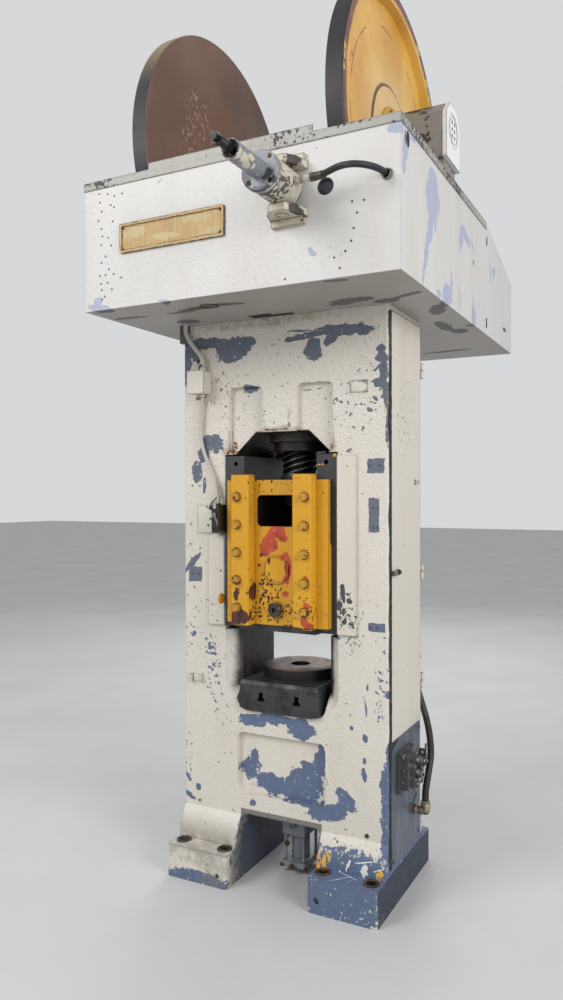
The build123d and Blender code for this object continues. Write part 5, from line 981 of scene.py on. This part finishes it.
def thread_radius(angle, height):
    pitch = LEAD / STARTS
    phase = (height / pitch - STARTS * angle / (2 * math.pi)) % 1.0
    flank, crest = 0.16, 0.36
    if phase < crest:
        return CREST
    if phase < crest + flank:
        return CREST + (ROOT - CREST) * (phase - crest) / flank
    if phase < 1.0 - flank:
        return ROOT
    return ROOT + (CREST - ROOT) * (phase - 1.0 + flank) / flank


def make_screw():
    piece = Piece("threaded_screw")
    around, rows = 150, 240
    grid = []
    for row in range(rows + 1):
        height = THREAD[0] + (THREAD[1] - THREAD[0]) * row / rows
        ring = []
        for i in range(around):
            angle = 2 * math.pi * i / around
            radius = thread_radius(angle, height)
            run_out = min(1.0, (height - THREAD[0]) / 0.02, (THREAD[1] - height) / 0.02)
            radius = CREST + (radius - CREST) * max(0.0, run_out)
            ring.append(piece.bm.verts.new((radius * math.cos(angle), radius * math.sin(angle), height)))
        grid.append(ring)
    for low, high in zip(grid, grid[1:]):
        for i in range(around):
            j = (i + 1) % around
            piece.bm.faces.new([low[i], low[j], high[j], high[i]])
    below = [(0, 1.402), (0.045, 1.402), (0.045, 1.562), (0.073, 1.562), (0.073, THREAD[0]), (CREST, THREAD[0])]
    above = [(CREST, THREAD[1]), (0.056, THREAD[1]), (0.056, 2.335), (0.078, 2.335), (0.078, 2.350),
             (0.045, 2.350), (0.045, 2.480), (0.038, 2.480), (0.038, 2.518), (0.035, 2.521), (0, 2.521)]
    piece.lathe(below, (0, 0, 0), segments=64)
    piece.lathe(above, (0, 0, 0), segments=64)
    piece.finish("screw", ["screw_steel"], "bright_steel", ["screw"])


make_screw()


def make_data_plate():
    piece = Piece("data_plate")
    x0, x1, z0, z1 = 0.288, 0.359, 1.861, 1.907
    piece.block((x0, FRONT - 0.0012, z0), (x1, FRONT + 0.001, z1), 0.0004)
    for x in (x0 + 0.005, x1 - 0.005):
        for z in (z0 + 0.005, z1 - 0.005):
            piece.lathe([(0.0026, 0.0), (0.0022, 0.0012), (0, 0.0016)], (x, FRONT - 0.0011, z), (0, -1, 0), 12)
    piece.finish("frame", ["cream_sheet"], "cream_sheet")


make_data_plate()


def make_front_screws():
    """Small screws left in the bare pads, and in the gib plates."""
    piece = Piece("front_screws")
    spots = [(0.364, 1.597, FRONT), (0.402, 1.597, FRONT), (0.378, 1.376, FRONT), (0.378, 1.446, FRONT), (0.396, 1.376, FRONT),
             (0.396, 1.446, FRONT), (0.365, 1.015, FRONT), (0.392, 1.015, FRONT), (-0.395, 1.53, FRONT), (-0.36, 1.53, FRONT),
             (-0.392, 1.177, FRONT), (-0.366, 1.177, FRONT)]
    for x, z, y in spots:
        piece.lathe([(0.0045, 0.0), (0.0042, 0.001), (0.0022, 0.0012), (0.0018, -0.002), (0, -0.002)], (x, y + 0.0002, z), (0, -1, 0), 16)
    piece.finish("frame", ["dark_steel"], "dark_steel")


make_front_screws()


def make_clip():
    """A small U bracket left on the casting."""
    piece = Piece("front_clip")
    x, z = -0.374, 0.760
    piece.block((x - 0.026, FRONT - 0.003, z - 0.016), (x + 0.026, FRONT + 0.001, z + 0.016), 0.0006)
    for side in (-1, 1):
        piece.block((x + side * 0.023 - 0.003, FRONT - 0.018, z - 0.016), (x + side * 0.023 + 0.003, FRONT, z + 0.016), 0.0008)
    piece.finish("frame", ["cream_sheet"], "cream_sheet")


make_clip()


def make_corner_shade_strip():
    """A lumpy black strip along the corner between the column's side and the door: painted shade for that corner,
    shaped like sealing compound.
    """
    piece = Piece("corner_shade_strip")
    rng = random.Random(7)
    rows = []
    count = 170
    for k in range(count + 1):
        z = 0.150 + 1.998 * k / count
        lump = max(0.0, math.sin(0.31 * k) * math.sin(0.117 * k + 1.0))
        wide = 0.0065 + 0.0035 * rng.random() + 0.006 * lump
        tall = 0.0014 + 0.0012 * rng.random() + 0.0016 * lump
        y = -0.1650 + 0.0016 * (rng.random() - 0.5)
        rows.append([piece.bm.verts.new((0.4375, y - wide, z)), piece.bm.verts.new((0.438 + tall, y - wide * 0.5, z)),
                     piece.bm.verts.new((0.438 + tall * 1.3, y, z)), piece.bm.verts.new((0.4375, y + 0.002, z))])
    for low, high in zip(rows, rows[1:]):
        for i in range(3):
            piece.bm.faces.new([low[i], low[i + 1], high[i + 1], high[i]])
        piece.bm.faces.new([low[3], low[0], high[0], high[3]])
    piece.bm.faces.new(rows[0])
    piece.bm.faces.new(list(reversed(rows[-1])))
    piece.finish("frame", ["black_rubber"], "black_rubber")


def make_hole_shade_and_plugs():
    """A dark dome plug on the head's front, and thin black discs on the head's side and underside, painted shade in
    place of its holes and slots.
    """
    piece = Piece("head_hole_shade_and_plugs")
    side = HEAD_SIDE - 0.0004
    piece.oval((side, -0.496, 2.587), (1, 0, 0), 0.0125, 0.026, 0.0016)
    piece.oval((side, 0.562, 2.570), (1, 0, 0), 0.008, 0.021, 0.0016)
    piece.oval((side, 0.556, 2.223), (1, 0, 0), 0.0085, 0.021, 0.0016, power=8.0)
    piece.oval((-0.060, -0.2225, HEAD_UNDER + 0.0004), (0, 0, -1), 0.050, 0.010, 0.0014, power=5.0)
    piece.oval((-0.018, -0.198, HEAD_UNDER + 0.0004), (0, 0, -1), 0.088, 0.009, 0.0022, power=10.0)
    piece.lathe([(0.034, 0.0), (0.034, 0.0012), (0.030, 0.0018), (0.027, -0.0002), (0, -0.0002)], (-0.15, -0.435, HEAD_UNDER), (0, 0, -1), 36)
    piece.lathe([(0.0262, 0.012), (0.0262, 0.0), (0.0250, -0.0012), (0.0232, -0.0012), (0.0222, 0.0010), (0.018, 0.0060), (0, 0.0085)],
                (0.3645, HEAD_FRONT, 2.4645), (0, 1, 0), 48)
    piece.finish("frame", ["black_plugs_and_hole_shade"], "black_rubber")


def make_hose_ends():
    """The chromed bush where the hose enters the head, and the crimped ferrule at the cylinder."""
    piece = Piece("hose_ends")
    piece.ring((0.5705, HEAD_FRONT - 0.002, 2.4645), (0, 1, 0), 0.0150, 0.0034)
    piece.index = 1
    rings = [(0.0106, -0.001)]
    for k in range(5):
        rings += [(0.0128, 0.0015 + 0.0062 * k), (0.0128, 0.0050 + 0.0062 * k), (0.0116, 0.0060 + 0.0062 * k)]
    rings += [(0.0106, 0.0335)]
    piece.lathe(rings, (0.3635, -0.640, 2.468), (1.0, 0.0, 0.04), 28, close=True)
    piece.hexagon((0.350, -0.640, 2.468), (1, 0, 0), 0.026, 0.0135, 0.3)
    piece.finish("frame", ["bright_steel", "dark_steel"], "bright_steel")


def make_rod_thread():
    """The thread on the rod's free end."""
    piece = Piece("rod_thread")
    profile = [(0.0111, 0.0)]
    for k in range(20):
        profile += [(0.0111, 0.0021 * k + 0.0005), (0.0122, 0.0021 * k + 0.0015)]
    profile.append((0.0111, 0.0428))
    piece.lathe(profile, (0.236, -0.951, 2.468), (0, -1, 0), 28, close=True)
    piece.finish("brake_rod", ["black_oxide"], "dark_steel")


def make_flange_trim():
    """Rims and plugs of the brake cylinder."""
    piece = Piece("cylinder_trim")
    piece.ring((0.236, -0.7405, 2.468), (0, -1, 0), 0.0600, 0.0016, 64)
    piece.ring((0.236, -0.9285, 2.468), (0, -1, 0), 0.0275, 0.0014, 48)
    piece.lathe([(0.0278, 0.0), (0.0278, 0.006), (0.0262, 0.0075), (0.0235, 0.0075), (0.0225, 0.003), (0.0225, 0.0)],
                (0.236, -0.9225, 2.468), (0, -1, 0), 40, close=True)
    piece.finish("frame", ["dark_steel"], "dark_steel")


def make_valve_details():
    """Unions, bonnets and knobs on the valves, and the pressure line to the elbow."""
    piece = Piece("valve_details")
    for z in (0.435, 0.480, 0.525):
        piece.lathe([(0.0085, 0.0), (0.0105, 0.002), (0.0105, 0.010), (0.0075, 0.013), (0, 0.0135)], (0.4968, -0.062, z), (1, 0, 0), 20)
        piece.hexagon((0.452, -0.082, z + 0.008), (0.55, -0.5, 0.2), 0.019, 0.020, 0.2)
    for z in (0.455, 0.505):
        piece.hexagon((0.4945, -0.008, z), (1, 0, 0), 0.022, 0.009, 0.1)
        piece.lathe([(0.006, 0.0), (0.006, 0.010), (0.0045, 0.012), (0, 0.012)], (0.5035, -0.008, z), (1, 0, 0), 16)
    for y in (-0.108, 0.028):
        for z in (0.412, 0.548):
            piece.cap_screw((0.4545, y, z), (1, 0, 0), 0.0055, 0.005)
    piece.tube([(0.492, -0.030, 0.4465), (0.500, -0.018, 0.430), (0.498, 0.012, 0.425), (0.492, 0.030, 0.445), (0.484, 0.046, 0.462)], 0.0042)
    piece.tube([(0.470, -0.030, 0.412), (0.478, -0.012, 0.388), (0.474, 0.018, 0.370), (0.462, 0.030, 0.345), (0.452, 0.044, 0.318)], 0.0022)
    piece.tube([(0.489, -0.062, 0.542), (0.500, -0.058, 0.556), (0.498, -0.040, 0.562), (0.488, -0.020, 0.548)], 0.0036)
    piece.index = 1
    for s in (-1, 1):
        centre = Vector((0.474, 0.078, 0.478)) + s * Vector((0.0, 0.3, 0.95)).normalized() * 0.030
        piece.lathe([(0.0135, -0.005), (0.0150, -0.004), (0.0150, 0.004), (0.0135, 0.005)], centre, (0, 0.3, 0.95), 28, close=True)
    piece.hexagon((0.4885, 0.078, 0.478), (1, 0, 0), 0.016, 0.006)
    piece.lathe([(0.019, 0.0), (0.019, 0.004), (0.017, 0.005)], (0.4432, 0.078, 0.478), (1, 0, 0), 32)
    piece.finish("frame", ["oily_steel", "brass_fitting"], "dark_steel")


def make_elbow():
    """A polished elbow with its nuts, over the plain fitting."""
    piece = Piece("elbow_shell")
    piece.tube([(0.4575, 0.066, 0.292), (0.472, 0.066, 0.292), (0.486, 0.066, 0.2935), (0.4955, 0.066, 0.300), (0.4975, 0.066, 0.3125), (0.4965, 0.066, 0.3195)],
               0.0168, 24, 5)
    for x, r in ((0.4555, 0.0190), (0.4790, 0.0178)):
        piece.lathe([(0.012, 0.0), (r - 0.0015, 0.0), (r, 0.0015), (r, 0.0055), (r - 0.0015, 0.007), (0.012, 0.007)], (x, 0.066, 0.292), (1, 0, 0), 32, close=True)
    piece.lathe([(0.012, 0.0), (0.0185, 0.0), (0.0195, 0.002), (0.0195, 0.006), (0.018, 0.008), (0.012, 0.008)], (0.4945, 0.066, 0.3115), (0, 0, 1), 32, close=True)
    piece.finish("frame", ["chrome_brass"], "brass_fitting")


def make_conduit_fittings():
    """Gland nuts, the strap on the conduit and the corner bracket below the head."""
    piece = Piece("conduit_fittings")
    piece.hexagon((-0.3335, -0.2045, 1.9935), (0.12, 0, -1), 0.024, 0.010)
    piece.lathe([(0.0125, 0.0), (0.0125, 0.006), (0.009, 0.011), (0.009, 0.0)], (-0.3335, -0.2045, 1.9985), (-0.12, 0, 1), 24, close=True)
    piece.hexagon((-0.350, -0.2030, 1.8795), (0.0, 0, -1), 0.021, 0.009)
    piece.block((-0.438, -0.205, 2.100), (-0.404, -0.1795, 2.1705), 0.002)
    piece.cap_screw((-0.421, -0.2050, 2.120), (0, -1, 0), 0.0055, 0.004)
    piece.index = 1
    at = Vector((-0.3475, -0.1985, 2.026))
    piece.oval(at + Vector((0.006, 0.0005, 0.0)), (0, -1, 0), 0.021, 0.0055, 0.0025, 0.45, power=4.0)
    piece.ring(at, (0.42, 0, -1), 0.0088, 0.0022)
    piece.cap_screw(at + Vector((0.020, -0.002, 0.008)), (0, -1, 0), 0.0035, 0.003)
    piece.finish("frame", ["grey_bracket", "dark_steel"], "dark_steel")


def make_switch_parts():
    """The cream plate beside the limit switch, its small terminal and screws."""
    piece = Piece("switch_plate")
    piece.block((-0.371, FRONT - 0.0022, 1.340), (-0.2775, FRONT + 0.0008, 1.452), 0.0008)
    piece.index = 1
    piece.block((-0.312, FRONT - 0.011, 1.436), (-0.300, FRONT - 0.001, 1.446), 0.001)
    piece.lathe([(0.0035, 0.0), (0.0030, 0.0015), (0, 0.002)], (-0.325, FRONT - 0.0020, 1.444), (0, -1, 0), 12)
    piece.lathe([(0.0045, 0.0), (0.0035, 0.0020), (0, 0.0025)], (-0.309, FRONT - 0.0020, 1.398), (0, -1, 0), 12)
    piece.lathe([(0.0040, 0.0), (0.0035, 0.0020), (0, 0.0025)], (-0.319, FRONT - 0.0020, 1.372), (0, -1, 0), 12)
    piece.tube([(-0.262, -0.1925, 1.500), (-0.272, -0.1905, 1.486), (-0.285, -0.1885, 1.474), (-0.300, -0.1875, 1.462), (-0.306, -0.1875, 1.446)], 0.0024)
    for z in (1.362, 1.424):
        piece.cap_screw((-0.267, -0.2330, z), (0, -1, 0), 0.0038, 0.003)
    piece.finish("frame", ["cream_sheet", "black_plastic"], "cream_sheet")


def make_ram_trim():
    """Rings left on the ram's face and the roller at the foot of its trip rail."""
    piece = Piece("ram_trim")
    for x, z, r in ((-0.004, 1.297, 0.0085), (-0.006, 1.349, 0.0115)):
        piece.lathe([(r, 0.0), (r, 0.0022), (r * 0.86, 0.0030), (r * 0.48, 0.0030), (r * 0.42, 0.0004)], (x, -0.2100, z), (0, -1, 0), 28)
    piece.lathe([(0, -0.0002), (0.019, 0.0), (0.0205, 0.0015), (0.0205, 0.0055), (0.019, 0.0070), (0.007, 0.0070), (0.006, 0.0088), (0, 0.009)],
                (-0.2312, -0.222, 1.090), (-1, 0, 0), 32)
    piece.index = 1
    piece.lathe([(0.0036, 0.0), (0.0032, 0.0034), (0, 0.0036)], (-0.004, -0.2104, 1.297), (0, -1, 0), 16)
    piece.finish("ram", ["ram", "dark_steel"], "yellow_paint")


def make_latch_tip():
    """A turned steel grip on the latch's free end."""
    low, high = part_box("door_latch")
    piece = Piece("latch_grip")
    z, x = (low[2] + high[2]) / 2, (low[0] + high[0]) / 2
    piece.lathe([(0.0045, 0.0), (0.0080, 0.001), (0.0088, 0.004), (0.0088, 0.026), (0.0075, 0.029), (0, 0.0295)], (x, low[1] + 0.031, z), (0, -1, 0), 24)
    piece.finish("door_latch", ["bright_steel"], "dark_steel")


def make_ejector_parts():
    """The cushion cylinder's plug, its port and the tie-rod nuts."""
    piece = Piece("ejector_plugs")
    piece.cap_screw((-0.019, -0.0832, 0.124), (0, -1, 0), 0.0105, 0.008)
    for x in (-0.052, 0.052):
        for y in (-0.066, 0.048):
            piece.hexagon((x, y, 0.0300), (0, 0, -1), 0.018, 0.007, 0.2)
    piece.hexagon((0.0, -0.083, 0.036), (0, -1, 0), 0.020, 0.006)
    piece.lathe([(0.006, 0.0), (0.006, 0.006), (0.0045, 0.0075), (0, 0.0075)], (0.0, -0.0885, 0.036), (0, -1, 0), 16)
    piece.finish("frame", ["rusty_steel"], "dark_steel")


def make_foot_marks():
    """Plugs in the feet and the column's face."""
    piece = Piece("foot_plugs")
    piece.lathe([(0.0095, 0.0), (0.0095, 0.0008), (0.0080, 0.0014), (0, 0.0010)], (0.205, -0.3026, 0.052), (0, -1, 0), 24)
    piece.lathe([(0.0085, 0.0), (0.0080, 0.0025), (0.0055, 0.0032), (0, 0.0030)], (0.352, FRONT, 0.262), (0, -1, 0), 20)
    piece.lathe([(0.0045, 0.0), (0.0040, 0.008), (0.0030, 0.010), (0, 0.010)], (-0.365, FRONT, 0.266), (0.5, -1, 0.35), 16)
    piece.finish("frame", ["dark_steel"], "dark_steel")


def make_disc_hubs():
    """Bolted hub plates on both friction discs."""
    for name, x, way, finish, slot in (("right_hub", 0.3795, 1, "hub_yellow", "yellow_paint"), ("left_hub", -0.3795, -1, "dark_iron", "dark_iron")):
        piece = Piece(name)
        piece.lathe([(0.060, 0.004), (0.128, 0.004), (0.130, 0.006), (0.130, 0.012), (0.126, 0.015), (0.085, 0.017), (0.080, 0.026), (0.062, 0.026)],
                    (x, 0, 2.81), (way, 0, 0), 64, close=True)
        for k in range(8):
            turn = 2 * math.pi * (k + 0.5) / 8
            at = (x + way * 0.0155, 0.106 * math.cos(turn), 2.81 + 0.106 * math.sin(turn))
            piece.hexagon(at, (way, 0, 0), 0.019, 0.009, turn)
        piece.finish("disc_shaft", [finish], slot)


def make_lid_screws():
    """Countersunk screws along the lid's left edge."""
    piece = Piece("lid_screws")
    for y in (-0.45, -0.15, 0.15, 0.45):
        piece.lathe([(0.0070, 0.0), (0.0065, 0.0010), (0.0034, 0.0012), (0.0030, -0.0020), (0, -0.0020)], (-0.6148, y, 2.630), (-1, 0, 0), 18)
    piece.finish("frame", ["dark_steel"], "dark_steel")


def make_plate_screws():
    """Domed nails in the corners of the bare name plate."""
    piece = Piece("plate_nails")
    for x in (-0.433, -0.021):
        for z in (2.379, 2.456):
            piece.lathe([(0.0052, 0.0), (0.0046, 0.0020), (0.0026, 0.0032), (0, 0.0036)], (x, -0.5695, z), (0, -1, 0), 16)
    piece.finish("frame", ["dark_steel"], "dark_steel")


def make_cover_vents():
    """A turned ring and four small breather holes on the shaft's end cover."""
    piece = Piece("cover_ring")
    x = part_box("bearing_end_cover")[1][0]
    piece.ring((x - 0.0009, 0.0, 2.81), (1, 0, 0), 0.062, 0.0014, 64)
    # Painted shade: the breather holes are dark discs on the cover.
    piece.index = 1
    for y in (-0.015, 0.015):
        for z in (2.788, 2.812, 2.836):
            piece.lathe([(0.0070, 0.0), (0.0070, 0.0004), (0, 0.0005)], (x - 0.0002, y, z), (1, 0, 0), 16)
    piece.finish("frame", ["white_cover", "black_plugs_and_hole_shade"], "cream_sheet")


def make_throat_shade_sheet():
    """A dark sheet over the throat's upper end, on the column's back: painted shade that keeps light from showing
    through the open back of the throat.
    """
    piece = Piece("throat_shade_sheet")
    piece.oval((0.0, 0.1805, 1.7065), (0, 1, 0), 0.262, 0.054, 0.0025, power=14.0, segments=64)
    for x in (-0.248, 0.0, 0.248):
        for z in ((1.672, 1.742) if x else (1.748,)):
            piece.cap_screw((x, 0.1828, z), (0, 1, 0), 0.0055, 0.005)
    piece.oval((0.0, 0.2150, 1.666), (0, 1, 0), 0.262, 0.028, 0.002, power=14.0, segments=64)
    piece.block((-0.262, 0.1805, 1.6920), (0.262, 0.2170, 1.6945), 0.0008)
    for x in (-0.2605, 0.2585):
        piece.block((x, 0.1805, 1.6560), (x + 0.002, 0.2165, 1.6930), 0.0006)
    piece.finish("frame", ["dark_iron"], "dark_iron")


make_throat_shade_sheet()
make_corner_shade_strip()
make_hole_shade_and_plugs()
make_hose_ends()
make_rod_thread()
make_flange_trim()
make_valve_details()
make_elbow()
make_conduit_fittings()
make_switch_parts()
make_ram_trim()
make_latch_tip()
make_ejector_parts()
make_foot_marks()
make_disc_hubs()
make_lid_screws()
make_plate_screws()
make_cover_vents()


# ---------------------------------------------------------------- studio

def make_studio():
    floor = bpy.data.meshes.new("floor")
    size = 30.0
    floor.from_pydata([(-size, -size, 0), (size, -size, 0), (size, size, 0), (-size, size, 0)], [], [(0, 1, 2, 3)])
    thing = bpy.data.objects.new("floor", floor)
    bpy.context.scene.collection.objects.link(thing)
    g = Graph("floor")
    shade = g.mix(g.ramp(g.noise(1.3, detail=5.0), 0.3, 0.7), srgb(206, 206, 205), srgb(200, 200, 199))
    floor.materials.append(g.done(shade, 0.85, 0.0, 0.2))
    world = bpy.data.worlds.new("studio")
    bpy.context.scene.world = world
    world.use_nodes = True
    tree = world.node_tree
    tree.nodes.clear()
    out = tree.nodes.new("ShaderNodeOutputWorld")
    light = tree.nodes.new("ShaderNodeBackground")
    light.inputs["Color"].default_value = (0.97, 0.98, 1.0, 1.0)
    light.inputs["Strength"].default_value = 0.55
    seen = tree.nodes.new("ShaderNodeBackground")
    seen.inputs["Color"].default_value = srgb(214, 216, 218)
    seen.inputs["Strength"].default_value = 1.0
    path = tree.nodes.new("ShaderNodeLightPath")
    total = path.outputs["Is Camera Ray"]
    for other in ("Is Glossy Ray", "Is Transmission Ray"):
        add = tree.nodes.new("ShaderNodeMath")
        add.operation = "MAXIMUM"
        tree.links.new(total, add.inputs[0])
        tree.links.new(path.outputs[other], add.inputs[1])
        total = add.outputs[0]
    mix = tree.nodes.new("ShaderNodeMixShader")
    tree.links.new(total, mix.inputs[0])
    tree.links.new(light.outputs[0], mix.inputs[1])
    tree.links.new(seen.outputs[0], mix.inputs[2])
    tree.links.new(mix.outputs[0], out.inputs["Surface"])
    for name, at, power, width in (("key", (-2.6, -4.6, 4.6), 158.0, 2.6), ("fill", (5.2, -2.4, 3.2), 165.0, 2.6),
                                   ("rear", (-1.5, 5.0, 4.6), 110.0, 2.6)):
        lamp = bpy.data.lights.new(name, "AREA")
        lamp.energy = power
        lamp.size = width
        holder = bpy.data.objects.new(name, lamp)
        holder.location = at
        aim = Vector((0.0, 0.0, 1.4)) - Vector(at)
        holder.rotation_euler = aim.to_track_quat("-Z", "Y").to_euler()
        bpy.context.scene.collection.objects.link(holder)


make_studio()
